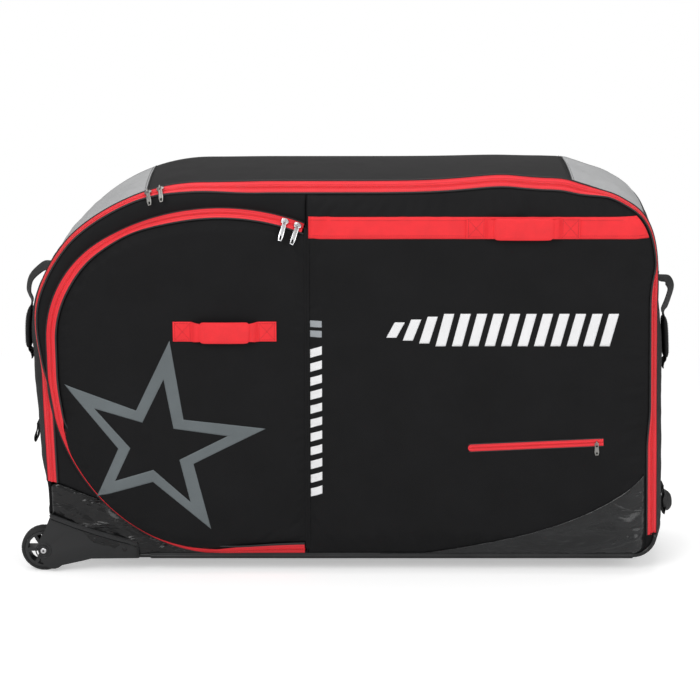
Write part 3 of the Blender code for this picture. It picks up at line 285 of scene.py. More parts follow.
def around(first, last):
    return list(range(SPAN[first][0], SPAN[last][1] + 1))


def inward(i, amount):
    (x, z), (nx, nz) = EDGE[i % TURNS], OUTWARD[i % TURNS]
    return (x - nx * amount, z - nz * amount)


def belly(i):
    i = i % TURNS
    rise = (EDGE[i][1] - BASE) / CASE_H
    if SPAN["top"][0] <= i <= SPAN["top"][1]:
        return 0.006
    if SPAN["right_corner"][0] <= i < SPAN["base"][0] and rise < 0.5:
        return 0.025 * ease((rise * CASE_H + 0.004) / 0.068)
    if i >= SPAN["base"][0]:
        return 0.0
    if rise < 0.5:
        return 0.027 * ease((rise * CASE_H - RAMP_TOP) / (CASE_H / 7)) + 0.004 * ease((rise - 0.3) * 6)
    wide = 0.025 if i >= SPAN["right_corner"][0] else 0.031
    return mix(wide, 0.004, ease(rise * 3 - 1.5))


def growth(i):
    """The back's outline is fuller round the upper corners, and more level on top."""
    height = EDGE[i % TURNS][1] - BASE
    flat = swelling(EDGE[i % TURNS][1]) * max(-OUTWARD[i % TURNS][0], 0.0)
    return 0.009 * ease((height / CASE_H - 0.4) * 3) - max(height - CASE_H, 0.0) * 0.75 - flat


def swell(i, t):
    """How far the wall stands out at a share t of its way from front to back."""
    return belly(i) * 4 * t * (1 - t) + growth(i) * t


def tape_back(i):
    """The y where the slanted zip tape meets the wall."""
    return FRONT + TAPE_W * math.cos(LEAN[i % TURNS])


def ripple(u, v, size, seed=0.0):
    """Smooth noise from -1 to 1 over a piece's own two directions, in metres."""
    return noise.noise(Vector((u / size, v / size, seed * 7.31)))


def sewn(name, verts, faces, corner_uv):
    """A smooth mesh with its normals outward and one UV place for each face corner."""
    mesh = bpy.data.meshes.new(name)
    mesh.from_pydata(verts, [], faces)
    layer = mesh.uv_layers.new(name="cloth")
    for k, uv in enumerate(corner_uv):
        layer.data[k].uv = uv
    fix = bmesh.new()
    fix.from_mesh(mesh)
    bmesh.ops.recalc_face_normals(fix, faces=fix.faces)
    fix.to_mesh(mesh)
    fix.free()
    mesh.shade_smooth()
    return stand(name, mesh)


def skin(name, rows, uv_rows, closed_rows=False, thick=None):
    """A grid of points as a mesh, with its own lengths in metres as its UV map.
    thick gives each point's place on the inner side, which closes the piece."""
    count, width = len(rows), len(rows[0])
    outer = [Vector(p) for row in rows for p in row]
    faces = []
    spans = count if closed_rows else count - 1
    for r in range(spans):
        s = (r + 1) % count
        for c in range(width - 1):
            faces.append([r * width + c, r * width + c + 1, s * width + c + 1, s * width + c])
    verts = list(outer)
    flat_uv = [uv for row in uv_rows for uv in row]
    if thick is not None:
        size = len(outer)
        verts += [Vector(p) for row in thick for p in row]
        flat_uv = flat_uv + flat_uv
        faces += [[k + size for k in quad[::-1]] for quad in faces]
        for r in range(spans):
            s = (r + 1) % count
            a, b = r * width, s * width
            faces.append([a, b, b + size, a + size])
            a, b = r * width + width - 1, s * width + width - 1
            faces.append([b, a, a + size, b + size])
        if not closed_rows:
            for c in range(width - 1):
                faces.append([c + 1, c, c + size, c + 1 + size])
                a = (count - 1) * width + c
                faces.append([a, a + 1, a + 1 + size, a + size])
    return sewn(name, verts, faces, [flat_uv[v] for face in faces for v in face])


def skin_of(name, rows, columns, place, closed=False):
    """A closed skin over a grid. place(r, c) gives a point, the one behind it and its UV."""
    spots = [[place(r, c) for c in range(columns)] for r in range(rows)]
    front, back, uvs = ([[spot[n] for spot in row] for row in spots] for n in range(3))
    return skin(name, front, uvs, closed_rows=closed, thick=back)


def made_plain(obj):
    return bpy.data.meshes.new_from_object(obj.evaluated_get(bpy.context.evaluated_depsgraph_get()))


def keep_plain(obj):
    """Makes what an object's modifiers give its own plain mesh."""
    made = made_plain(obj)
    obj.modifiers.clear()
    obj.data = made
    made.name = obj.name
    return made


def fit(obj, material, body, slot, *covers):
    obj.data.materials.clear()
    obj.data.materials.append(material)
    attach(obj, body)
    if covers:
        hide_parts(*covers)
    return obj


def blank_finish(name):
    mat = bpy.data.materials.new(name)
    mat.use_nodes = True
    return mat, mat.node_tree, mat.node_tree.nodes["Principled BSDF"]


def combine(tree, operation, *values):
    return put(tree, "ShaderNodeMath", *enumerate(values), operation=operation)


def spread(tree, value, low, high, to_low, to_high):
    return put(tree, "ShaderNodeMapRange", ("Value", value), ("From Min", low), ("From Max", high),
               ("To Min", to_low), ("To Max", to_high))


def speckle(tree, place, scale, detail, **more):
    return put(tree, "ShaderNodeTexNoise", ("Vector", place), ("Scale", scale), ("Detail", detail),
               *((key.replace("_", " ").title(), value) for key, value in more.items()))


def tinted(tree, base, colour, tone):
    """The finish's colour, made lighter and darker by tone."""
    tint = put(tree, "ShaderNodeVectorMath", (0, colour), ("Scale", tone), operation="SCALE")
    tree.links.new(tint.outputs[0], base.inputs["Base Color"])


def surface(tree, base, relief, **amounts):
    """The plain amounts of a finish, by its socket names in small letters, and its relief."""
    sockets = {socket.name.lower().replace(" ", "_"): socket for socket in base.inputs}
    for key, amount in amounts.items():
        sockets[key].default_value = amount
    tree.links.new(relief.outputs[0], base.inputs["Normal"])


def weave(name, colour, rough, yarn=0.0011, bump=0.25, mottle=0.10, coat=0.0, crease=0.0, gloss=0.5):
    """Woven cloth: crossing yarns in the piece's own lengths, faded unevenly."""
    mat, tree, base = blank_finish(name)
    place = put(tree, "ShaderNodeUVMap", uv_map="cloth")
    part = put(tree, "ShaderNodeSeparateXYZ", (0, place))
    waves = []
    for side in (0, 1):
        scaled = combine(tree, "MULTIPLY", part.outputs[side], math.pi / yarn)
        waves.append(combine(tree, "SINE", scaled))
    cross = combine(tree, "MULTIPLY", waves[0], waves[1])
    cloud = speckle(tree, place, 9.0, 5.0, roughness=0.6)
    slub = speckle(tree, place, 900.0, 2.0)
    shade = spread(tree, cloud, 0.3, 0.7, 1 - mottle, 1 + mottle)
    grain = spread(tree, cross, -1.0, 1.0, 0.86, 1.14)
    tone = combine(tree, "MULTIPLY", shade, grain)
    tinted(tree, base, colour, tone)
    height = combine(tree, "ADD", cross, slub)
    relief = put(tree, "ShaderNodeBump", ("Strength", bump), ("Distance", yarn * 0.4), ("Height", height))
    if crease:
        folds = speckle(tree, place, 26.0, 4.0, distortion=0.8)
        relief = put(tree, "ShaderNodeBump", ("Strength", crease), ("Distance", 0.006), ("Height", folds),
                     ("Normal", relief))
    surface(tree, base, relief, roughness=rough, coat_weight=coat, specular_ior_level=gloss)
    return mat


BLACK_CLOTH = weave("black_oxford_cloth", (0.0064, 0.0064, 0.0070), 0.66, mottle=0.16, gloss=0.15)
# The same black cloth on the top wall, its colour painted lighter as the light from above.
LIT_TOP_CLOTH = weave("black_oxford_top", (0.0098, 0.0094, 0.0098), 0.66, mottle=0.12, gloss=0.18)
GREY_TARPAULIN = weave("grey_tarpaulin", (0.365, 0.368, 0.372), 0.50, yarn=0.0016, bump=0.10, mottle=0.07,
                       coat=0.06, crease=0.35, gloss=0.35)


WALL_STEPS = 18


def wall(name, indices, material, slot, fold, seed, square=False):
    def place(n, j):
        i, t = indices[n], j / WALL_STEPS
        (x, z), (nx, nz), s = EDGE[i % TURNS], OUTWARD[i % TURNS], ALONG[i % TURNS]
        y0 = FRONT if square else tape_back(i) + GAP
        y = mix(y0, BACK - GAP, t)
        calm = ease(min(n, len(indices) - 1 - n) / 6) * ease(t * 6) * ease((1 - t) * 6)
        bump = calm * fold * (ripple(s, y * 0.4, 0.05, seed) + 0.6 * ripple(s, y, 0.022, seed + 1))
        out = swell(i, t) + bump
        return (x + nx * out, y, z + nz * out), (x - nx * (WALL - out), y, z - nz * (WALL - out)), (s, y)
    obj = skin_of(name + "_cloth", len(indices), WALL_STEPS + 1, place)
    fit(obj, material, "shell", slot, name)


# The grey cloth starts and ends part of the way round each corner.
GREY_FROM, GREY_TO = SPAN["left_corner"][0] + 30, SPAN["left_corner"][0] + 66
GREY_AGAIN, GREY_END = SPAN["right_corner"][0] + 3, SPAN["right_corner"][0] + 36
for wall_name, first, last, cloth, slot_name, fold_size in (
        ("gusset_end_left", SPAN["left_end"][0], GREY_FROM, BLACK_CLOTH, "black_fabric", 0.0014),
        ("gusset_corner_left", GREY_FROM, GREY_TO, GREY_TARPAULIN, "grey_coated", 0.0030),
        ("gusset_top", GREY_TO, GREY_AGAIN, LIT_TOP_CLOTH, "black_fabric", 0.0014),
        ("gusset_corner_right", GREY_AGAIN, GREY_END, GREY_TARPAULIN, "grey_coated", 0.0030),
        ("gusset_end_right", GREY_END, SPAN["right_end"][1], BLACK_CLOTH, "black_fabric", 0.0014)):
    wall(wall_name, list(range(first, last + 1)), cloth, slot_name, fold=fold_size, seed=len(wall_name))


# The main zip: two woven tapes in red round the front edge, each with its row of coil
# and two rows of stitches. The outer tape is sewn to the walls, the inner one to the
# flap, and a black piping runs beside each of them.
TAPE_THICK = 0.0012
COIL_PITCH = 0.0024


def extrude(name, frames, profile, ring=False):
    """A closed profile carried along frames of (place, side, up)."""
    rows, uvs, run = [], [], 0.0
    for n, (place, side, up) in enumerate(frames):
        if n:
            run += (place - frames[n - 1][0]).length
        row, uv, girth = [], [], 0.0
        for m, (a, b) in enumerate(profile + profile[:1]):
            if m:
                girth += math.dist(profile[m - 1], (a, b))
            uv.append((girth, run))
            if m < len(profile):
                row.append(place + side * a + up * b)
        rows.append(row)
        uvs.append(uv)
    width, count = len(profile), len(rows)
    verts = [p for row in rows for p in row]
    faces, corner_uv = [], []
    for r in range(count if ring else count - 1):
        s = (r + 1) % count
        for c in range(width):
            d = (c + 1) % width
            faces.append([r * width + c, r * width + d, s * width + d, s * width + c])
            low, high = uvs[r], uvs[s]
            corner_uv += [low[c], low[c + 1], *((g, at or run) for g, at in (high[c + 1], high[c]))]
    if not ring:
        for r, order in ((0, 1), (count - 1, -1)):
            faces.append([r * width + c for c in range(width)][::-order])
            corner_uv += uvs[r][:width][::-order]
    obj = sewn(name, verts, faces, corner_uv)
    obj.data.set_sharp_from_angle(angle=math.radians(50))
    return obj


def tape_frames(indices, across=0.0, lift=0.0):
    frames = []
    for i in indices:
        (x, z), (nx, nz), tip = EDGE[i % TURNS], OUTWARD[i % TURNS], LEAN[i % TURNS]
        edge = Vector((x, tape_back(i), z))
        side = Vector((-nx * math.sin(tip), -math.cos(tip), -nz * math.sin(tip)))
        up = Vector((nx * math.cos(tip), -math.sin(tip), nz * math.cos(tip)))
        frames.append((edge + side * across + up * lift, side, up))
    return frames


ZIP = [i for i in around("left_end", "right_end")
       if i >= SPAN["left_end"][1] or EDGE[i][1] - BASE >= ZIP_START_Z]


def smooth_travel(points):
    pairs = (beside(points, k) for k in range(len(points)))
    return [(after - before).normalized() for before, after in pairs]


# One Geometry Nodes tree lays rounded pieces along a line: coil links and stitches.
def pieces_tree():
    tree = bpy.data.node_groups.new("pieces_along_a_line", "GeometryNodeTree")
    face = tree.interface
    face.new_socket("Line", in_out="INPUT", socket_type="NodeSocketGeometry")
    for label, value in (("Spacing", 0.004), ("Length", 0.003), ("Width", 0.001), ("Height", 0.001),
                         ("Unevenness", 0.05)):
        socket = face.new_socket(label, in_out="INPUT", socket_type="NodeSocketFloat")
        socket.default_value = value
    face.new_socket("Finish", in_out="INPUT", socket_type="NodeSocketMaterial")
    face.new_socket("Pieces", in_out="OUTPUT", socket_type="NodeSocketGeometry")
    given = put(tree, "NodeGroupInput")
    curve = put(tree, "GeometryNodeMeshToCurve", ("Mesh", given.outputs["Line"]))
    even = put(tree, "GeometryNodeResampleCurve", ("Curve", curve),
               ("Length", given.outputs["Spacing"]), mode="LENGTH")
    travel = put(tree, "GeometryNodeInputNamedAttribute", ("Name", "travel"), data_type="FLOAT_VECTOR")
    lift = put(tree, "GeometryNodeInputNamedAttribute", ("Name", "lift"), data_type="FLOAT_VECTOR")
    first = put(tree, "FunctionNodeAlignRotationToVector", ("Vector", travel), axis="X")
    turned = put(tree, "FunctionNodeAlignRotationToVector", ("Rotation", first),
                 ("Vector", lift), axis="Z", pivot_axis="X")
    wobble = put(tree, "FunctionNodeRandomValue", ("Min", (-1.0, -1.0, -1.0)), ("Max", (1.0, 1.0, 1.0)),
                 ("Seed", 7), data_type="FLOAT_VECTOR")
    small = put(tree, "ShaderNodeVectorMath", (0, wobble), ("Scale", given.outputs["Unevenness"]),
                operation="SCALE")
    tilt = put(tree, "FunctionNodeEulerToRotation", ("Euler", small))
    both = put(tree, "FunctionNodeRotateRotation", ("Rotation", turned),
               ("Rotate By", tilt), rotation_space="LOCAL")
    unit = put(tree, "GeometryNodeMeshUVSphere", ("Segments", 8), ("Rings", 5), ("Radius", 0.5))
    soft = put(tree, "GeometryNodeSetShadeSmooth", ("Geometry", unit))
    size = put(tree, "ShaderNodeCombineXYZ", (0, given.outputs["Length"]), (1, given.outputs["Width"]),
               (2, given.outputs["Height"]))
    laid = put(tree, "GeometryNodeInstanceOnPoints", ("Points", even),
               ("Instance", soft), ("Rotation", both), ("Scale", size))
    real = put(tree, "GeometryNodeRealizeInstances", ("Geometry", laid))
    done = put(tree, "GeometryNodeSetMaterial", ("Geometry", real), ("Material", given.outputs["Finish"]))
    put(tree, "NodeGroupOutput", ("Pieces", done))
    return tree


PIECES = pieces_tree()


def lay_pieces(name, lines, sizes, material, body, slot):
    """lines hold (points, lifts); sizes are spacing, length, width, height and unevenness.
    Gives one plain mesh."""
    mesh = bpy.data.meshes.new(name)
    verts, edges, travels, lifts = [], [], [], []
    for points, ups in lines:
        start = len(verts)
        verts += points
        edges += [(start + k, start + k + 1) for k in range(len(points) - 1)]
        travels += smooth_travel(points)
        lifts += ups
    mesh.from_pydata(verts, edges, [])
    for label, values in (("travel", travels), ("lift", lifts)):
        layer = mesh.attributes.new(label, "FLOAT_VECTOR", "POINT")
        layer.data.foreach_set("vector", [c for v in values for c in v])
    obj = stand(name, mesh)
    step = obj.modifiers.new("pieces", "NODES")
    step.node_group = PIECES
    given = {s.name: s.identifier for s in PIECES.interface.items_tree if s.in_out == "INPUT"}
    for label, value in zip(("Spacing", "Length", "Width", "Height", "Unevenness"), sizes):
        step[given[label]] = value
    step[given["Finish"]] = material
    made = keep_plain(obj)
    for label in ("travel", "lift"):
        if label in made.attributes:
            made.attributes.remove(made.attributes[label])
    return fit(obj, material, body, slot)


def moulded(name, colour, rough, metal=0.0, grain=400.0, bump=0.05, mottle=0.05, coat=0.0, wear=0.0):
    """Plastic, rubber, thread or metal: fine grain, uneven shine and faint scuffs."""
    mat, tree, base = blank_finish(name)
    place = put(tree, "ShaderNodeTexCoord")
    fine = speckle(tree, place.outputs["Object"], grain, 3.0)
    wide = speckle(tree, place.outputs["Object"], 22.0, 5.0, roughness=0.65)
    shade = spread(tree, wide, 0.3, 0.7, 1 - mottle, 1 + mottle)
    tinted(tree, base, colour, shade)
    shine = spread(tree, wide, 0.3, 0.75, rough * 0.85, min(rough * (1.2 + wear), 1.0))
    tree.links.new(shine.outputs[0], base.inputs["Roughness"])
    relief = put(tree, "ShaderNodeBump", ("Strength", bump), ("Distance", 0.0004), ("Height", fine))
    surface(tree, base, relief, metallic=metal, coat_weight=coat)
    return mat


RED_TAPE = weave("red_zip_tape", (0.82, 0.022, 0.035), 0.55, yarn=0.0009, bump=0.25, mottle=0.05)
RED_COIL = moulded("red_zip_coil", (0.78, 0.019, 0.028), 0.38, coat=0.2)
RED_THREAD = moulded("dark_red_thread", (0.42, 0.010, 0.016), 0.6)
BLACK_PIPING = weave("black_piping", (0.010, 0.010, 0.011), 0.6, yarn=0.0008, bump=0.2)


def half_tape(name, frames, near, far, material, body, slot, covers):
    t = TAPE_THICK
    a, b = (near, far)
    profile = [(a, 0.0), (mix(a, b, 0.5), 0.0), (b, 0.0), (b, t * 0.8), (mix(a, b, 0.75), t),
               (mix(a, b, 0.5), t * 1.12), (mix(a, b, 0.25), t), (a, t * 0.8)]
    obj = extrude(name, frames, profile)
    return fit(obj, material, body, slot, *covers)


ZIP_FRAMES = tape_frames(ZIP)
half_tape("main_tape_case", ZIP_FRAMES, 0.0, TAPE_W / 2 - 0.0008, RED_TAPE, "shell", "red_tape",
          ("main_zip_tape_case",))
half_tape("main_tape_flap", ZIP_FRAMES, TAPE_W / 2 + 0.0008, TAPE_W, RED_TAPE, "flap", "red_tape",
          ("main_zip_tape_flap",))


def offset_line(frames, across, lift, first=0.0):
    points = [p + s * across + u * lift for p, s, u in frames]
    ups = [u for p, s, u in frames]
    if first:
        step = (points[1] - points[0]).normalized() * first
        points = [p + step for p in points[:1]] + points[1:]
    return points, ups


def teeth(zip_name, tag, line, middle, side, stitch_rows, body):
    """One half of a zip's coil, set half a link off the other half, and its stitches."""
    start = COIL_PITCH / 2 if side > 0 else 0.0
    lay_pieces(zip_name + "_zip_coil_" + tag, [offset_line(line, middle + side * 0.0012, 0.0013, start)],
               (COIL_PITCH, 0.0021, 0.0042, 0.0026, 0.03), RED_COIL, body, "red_tape")
    lay_pieces(zip_name + "_zip_stitches_" + tag,
               [offset_line(line, middle + side * off, lift) for off, lift in stitch_rows],
               (0.0036, 0.0029, 0.0009, 0.0007, 0.06), RED_THREAD, body, "red_tape")


for tag, body_name, side in (("case", "shell", -1), ("flap", "flap", 1)):
    teeth("main", tag, ZIP_FRAMES, TAPE_W / 2, side, ((0.0048, 0.0014), (0.0102, 0.0012)), body_name)


def piping(name, frames, radius, material, body, slot):
    return fit(extrude(name, frames, circle((0, 0), radius, 8)), material, body, slot)


for tag, body_name, off, lift, radius in (("case", "shell", -0.0010, 0.0008, 0.0019),
                                          ("flap", "flap", TAPE_W + 0.0010, 0.0010, 0.0021)):
    piping("main_zip_piping_" + tag, tape_frames(ZIP, off, lift), radius, BLACK_PIPING, body_name,
           "black_fabric")


# The front of the bag is a padded flap. Right of the seam it is one panel of black
# cloth over foam; left of it a rim runs round the D-shaped wheel pocket, whose door is
# a second padded panel. The pads round over at their outer edges and dip at the seam.
SEAM_X = -0.088
FACE = -0.139
CROWN = 0.014
PAD = 0.009
DOOR_CX, DOOR_TOP, DOOR_R, DOOR_LEFT = -0.262, 0.749, 0.470, -0.622
DOOR_SWEEP = math.radians(31)
DOOR_RUN = 0.017


def door_curve():
    """The pocket zip's outer edge, anticlockwise from the seam at the top."""
    cz = BASE + DOOR_TOP - DOOR_R
    first = -math.asin((SEAM_X - DOOR_CX) / DOOR_R)
    points = []
    for k in range(90):
        t = mix(first, DOOR_SWEEP, k / 90)
        points.append((DOOR_CX - DOOR_R * math.sin(t), cz + DOOR_R * math.cos(t)))
    jx, jz = DOOR_CX - DOOR_R * math.sin(DOOR_SWEEP), cz + DOOR_R * math.cos(DOOR_SWEEP)
    small = (jx - DOOR_LEFT) / (1 - math.sin(DOOR_SWEEP))
    sx, sz = DOOR_LEFT + small, jz - small * math.cos(DOOR_SWEEP)
    for k in range(50):
        t = mix(DOOR_SWEEP, math.pi / 2, k / 50)
        points.append((sx - small * math.sin(t), sz + small * math.cos(t)))
    waist, low = sz - 0.0634, BASE + WALL + 2 * GAP
    for k in range(8):
        points.append((DOOR_LEFT, mix(sz, waist, k / 8)))
    for k in range(110):
        t = math.pi / 2 * k / 110
        points.append((DOOR_CX - (DOOR_CX - DOOR_LEFT) * math.cos(t), waist - (waist - low) * math.sin(t)))
    for k in range(25):
        points.append((mix(DOOR_CX, SEAM_X, k / 24), low))
    return points


DOOR = door_curve()
DOOR_N = []
for k in range(len(DOOR)):
    (ax, az), (bx, bz) = beside(DOOR, k)
    size = math.hypot(bx - ax, bz - az)
    DOOR_N.append(((bz - az) / size, -(bx - ax) / size))


def door_inside(k, amount):
    (x, z), (nx, nz) = DOOR[k], DOOR_N[k]
    return (min(x - nx * amount, SEAM_X - GAP), z - nz * amount)


def even(points, count):
    """The same line with evenly spaced points."""
    run = [0.0]
    for a, b in zip(points, points[1:]):
        run.append(run[-1] + math.dist(a, b))
    steps = np.linspace(0.0, run[-1], count)
    return list(zip(*(np.interp(steps, run, [p[c] for p in points]) for c in (0, 1))))


def patch_grid(low, high, left, right, across, up):
    """Grid points between four edge lines that share their corners."""
    low, high, left, right = even(low, across), even(high, across), even(left, up), even(right, up)
    rows = []
    for j in range(up):
        v, row = j / (up - 1), []
        for i in range(across):
            u, point = i / (across - 1), []
            for c in (0, 1):
                edges = mix(low[i][c], high[i][c], v) + mix(left[j][c], right[j][c], u)
                corners = mix(mix(low[0][c], low[-1][c], u), mix(high[0][c], high[-1][c], u), v)
                point.append(edges - corners)
            row.append(tuple(point))
        rows.append(row)
    return rows


def edge_distance(points, line):
    """How far each point lies from a line, in metres."""
    p = np.array(points)
    best = np.full(len(p), 9.0)
    for a, b in zip(line, line[1:]):
        a, b = np.array(a), np.array(b)
        d = b - a
        t = np.clip(((p - a) @ d) / max(d @ d, 1e-12), 0, 1)
        best = np.minimum(best, np.linalg.norm(p - (a + t[:, None] * d), axis=1))
    return best


CLOTH_PRESSURE, CLOTH_SLACK, CLOTH_FRAMES = 4.0, 0.012, 18


def settle(obj, held, cap):
    """Lets a pad's cloth find its own folds: held points stay, the rest is blown up a
    little with some slack, and no point moves further than cap."""
    scene = bpy.context.scene
    group = obj.vertex_groups.new(name="held")
    for k, amount in enumerate(held):
        group.add([k], float(amount), "REPLACE")
    step = obj.modifiers.new("cloth", "CLOTH")
    cloth = step.settings
    cloth.quality = 4
    cloth.mass = 0.25
    cloth.tension_stiffness = cloth.compression_stiffness = 12.0
    cloth.shear_stiffness = 6.0
    cloth.bending_stiffness = 0.35
    cloth.use_pressure = True
    cloth.uniform_pressure_force = CLOTH_PRESSURE
    cloth.shrink_min = -CLOTH_SLACK
    cloth.vertex_group_mass = "held"
    cloth.effector_weights.gravity = 0.0
    step.collision_settings.use_collision = False
    step.point_cache.frame_start, step.point_cache.frame_end = 1, CLOTH_FRAMES
    before = np.array([v.co for v in obj.data.vertices])
    for frame_number in range(1, CLOTH_FRAMES + 1):
        scene.frame_set(frame_number)
    made = made_plain(obj)
    after = np.array([v.co for v in made.vertices])
    bpy.data.meshes.remove(made)
    obj.modifiers.clear()
    obj.vertex_groups.clear()
    scene.frame_set(1)
    move = after - before
    size = np.linalg.norm(move, axis=1, keepdims=True)
    move *= np.minimum(1.0, cap / np.maximum(size, 1e-9))
    obj.data.vertices.foreach_set("co", (before + move).ravel())
    obj.data.update()


SEAM_DIP = 0.0018


def pad_panel(name, rows, round_lines, flat_lines, crown, edge_y, facing, material, body, slot, covers,
              relief, thick=PAD, round_over=0.011, cap=0.0):
    """A pad over a grid of (x, z) points. It rounds down to edge_y at round_lines, and
    only dips a little at flat_lines, where it is sewn to a panel of the same height."""
    flat = [p for row in rows for p in row]
    sunk = np.exp(-edge_distance(flat, round_lines) / round_over)
    dip = np.exp(-edge_distance(flat, flat_lines) / 0.004) if flat_lines else np.zeros(len(flat))
    width = len(rows[0])

    def place(r, c):
        (x, z), k = rows[r][c], r * width + c
        rise = crown * (1 - sunk[k]) - SEAM_DIP * dip[k] * (1 - sunk[k])
        soft = (1 - sunk[k]) * (1 - dip[k])
        rise += soft * relief(x, z, min(-math.log(max(sunk[k], 1e-9)) * round_over, 1.0))
        return (x, edge_y + facing * rise, z), (x, edge_y - facing * thick, z), (x, z)
    obj = skin_of(name, len(rows), width, place)
    if cap:
        near = np.exp(-(edge_distance(flat, round_lines) / 0.006) ** 2)
        if flat_lines:
            near = np.maximum(near, np.exp(-(edge_distance(flat, flat_lines) / 0.006) ** 2))
        settle(obj, np.concatenate([near, np.ones(len(near))]), cap)
    fit(obj, material, body, slot, *covers)
    return obj


def flap_spot(i):
    """Where the flap's padding meets the inner edge of the zip tape, with a hair's gap."""
    return inward(i, TAPE_W * math.sin(LEAN[i % TURNS]) + 0.0006)


def flap_edge(part):
    return [flap_spot(i) for i in around(part, part)]


top_line = [p for p in flap_edge("top") if p[0] > SEAM_X + 0.002]
seam_top = (SEAM_X + GAP, top_line[0][1])
corner_line = flap_edge("right_corner")
end_line = flap_edge("right_end")
CORNER_CUT = 26
foot_z = BASE + WALL + GAP
foot_line = [(end_line[-1][0] - 0.0005, end_line[-1][1]), (end_line[-1][0] - 0.003, foot_z + 0.016),
             (end_line[-1][0] - 0.010, foot_z + 0.006), (end_line[-1][0] - 0.022, foot_z)]
RIGHT_TOP = [seam_top] + top_line + corner_line[:CORNER_CUT]
RIGHT_SIDE = list(reversed(corner_line[CORNER_CUT - 1:] + end_line[1:] + foot_line))
RIGHT_LOW = [(SEAM_X + GAP, foot_z), (end_line[-1][0] - 0.022, foot_z)]
RIGHT_SEAM = [(SEAM_X + GAP, foot_z), seam_top]
RIGHT_ROWS = patch_grid(RIGHT_LOW, RIGHT_TOP, RIGHT_SEAM, RIGHT_SIDE, 130, 140)


def panel_waves(x, z, d):
    """Slack in the cloth: long shallow folds, and small puckers beside the zips."""
    broad = 0.0016 * ripple(x, z * 0.6, 0.16, 3) + 0.0007 * ripple(x * 0.8, z, 0.07, 4)
    pucker = 0.0009 * math.exp(-d / 0.035) * ripple(x, z, 0.020, 5)
    drape = 0.0012 * math.exp(-((x - 0.22) / 0.05) ** 2) * ease((0.76 - z) / 0.10) * ease((z - 0.42) / 0.2)
    return broad + pucker + drape


RIGHT_BOUND = RIGHT_TOP + RIGHT_SIDE[::-1] + RIGHT_LOW[::-1]
right_pad = pad_panel("front_pad_right", RIGHT_ROWS, RIGHT_BOUND, RIGHT_SEAM, CROWN, FRONT, -1, BLACK_CLOTH,
                      "flap", "black_fabric", ("front_panel_right",), relief=panel_waves, cap=0.005)

# The door of the wheel pocket is one pad, and its edge follows the zip's run.
def puffed(k):
    """Low on the left the door's padding swells over its zip, and leaves a thin red line."""
    x, z = DOOR[k]
    return ease((0.352 - z) / 0.10) * (1 - ease((x + 0.46) / 0.28))


def flared(k):
    """The zip's run: wider near its lower end, where the door's edge pulls up from the base."""
    x, z = DOOR[k]
    low = ease((x + 0.32) / 0.23) * ease((BASE + 0.08 - z) / 0.04)
    side = ease((-0.44 - x) / 0.08) * ease((z - 0.30) / 0.08) * ease((0.70 - z) / 0.08)
    arc = math.exp(-(((x + 0.45) / 0.06) ** 2)) * ease((z - 0.64) / 0.05)
    return DOOR_RUN * (1 + 0.60 * low + 0.20 * side - 0.26 * arc)


inner = [door_inside(k, mix(flared(k) + 0.0006, 0.0042, puffed(k))) for k in range(len(DOOR))]
upper = next(k for k in range(len(inner)) if inner[k][0] < -0.50)
lower = max(k for k in range(len(inner)) if inner[k][0] < -0.47)
door_top = [inner[k] for k in range(upper, -1, -1)]
door_top[-1] = (SEAM_X - GAP, door_top[-1][1])
door_side = inner[upper:lower + 1][::-1]
door_low = inner[lower:]
door_low[-1] = (SEAM_X - GAP, door_low[-1][1])
door_seam = [door_low[-1], door_top[-1]]
DOOR_ROWS = patch_grid(door_low, door_top, door_side, door_seam, 120, 130)


def door_waves(x, z, d):
    return 0.0012 * ripple(x, z, 0.13, 8) + 0.0007 * ripple(x, z, 0.05, 9) * math.exp(-d / 0.05)


DOOR_EDGE = door_low[::-1] + door_side + door_top
door_pad = pad_panel("pocket_door_pad", DOOR_ROWS, DOOR_EDGE, door_seam, 0.0046, FACE + 0.0040, -1,
                     BLACK_CLOTH, "pocket_door", "black_fabric", ("pocket_door_panel",), relief=door_waves,
                     round_over=0.006, thick=0.006, cap=0.004)

# The rim is a strip of padding between the main zip and the pocket's zip.
rim_outer = [(SEAM_X - GAP, seam_top[1])]
for i in reversed(around("left_end", "top")):
    x, z = flap_spot(i)
    if x < SEAM_X - 0.002 and (i >= SPAN["left_end"][1] or EDGE[i][1] - BASE > ZIP_START_Z):
        rim_outer.append((x, z))
rim_stop = min(k for k in range(140, len(DOOR)) if DOOR[k][1] < BASE + 0.130)
rim_inner = [(min(x, SEAM_X - GAP), z) for x, z in DOOR[:rim_stop + 1]]
a_line, b_line = even(rim_outer, 240), even(rim_inner, 240)
RIM_ROWS = [[between(a, b, s / 12) for s in range(13)] for a, b in zip(a_line, b_line)]


def rim_waves(x, z, d):
    return 0.0008 * ripple(x, z, 0.03, 12) * ease(d / 0.01)


pad_panel("front_pad_rim", RIM_ROWS, a_line + b_line[::-1], None, 0.0050, FRONT, -1, BLACK_CLOTH, "flap",
          "black_fabric", ("front_panel_rim",), relief=rim_waves, round_over=0.006)


# The pocket's zip: two red tapes on the slope from the rim up to the raised door. Low
# on the left the door's half sinks under the swollen padding.
def door_frames(across=0.0, lift=0.0, sunk=0.0, late=0.0, held=None):
    frames = []
    size = math.hypot(DOOR_RUN, CROWN)
    for k in range(len(DOOR)):
        nx, nz = DOOR_N[k]
        side = Vector((-nx * flared(k), -CROWN, -nz * flared(k))) / size
        up = Vector((nx * CROWN, -DOOR_RUN, nz * CROWN)) / size
        depth = lift - sunk * ease((puffed(k) - late) * 2)
        place = Vector((DOOR[k][0], FRONT, DOOR[k][1])) + side * across + up * depth
        slim = 1.0 if held is None else 1 - 0.85 * ease(puffed(k) * 2.2)
        if place.x <= SEAM_X - 0.002:
            frames.append((place + side * (held or 0.0) * (1 - slim), side * slim, up))
    return frames


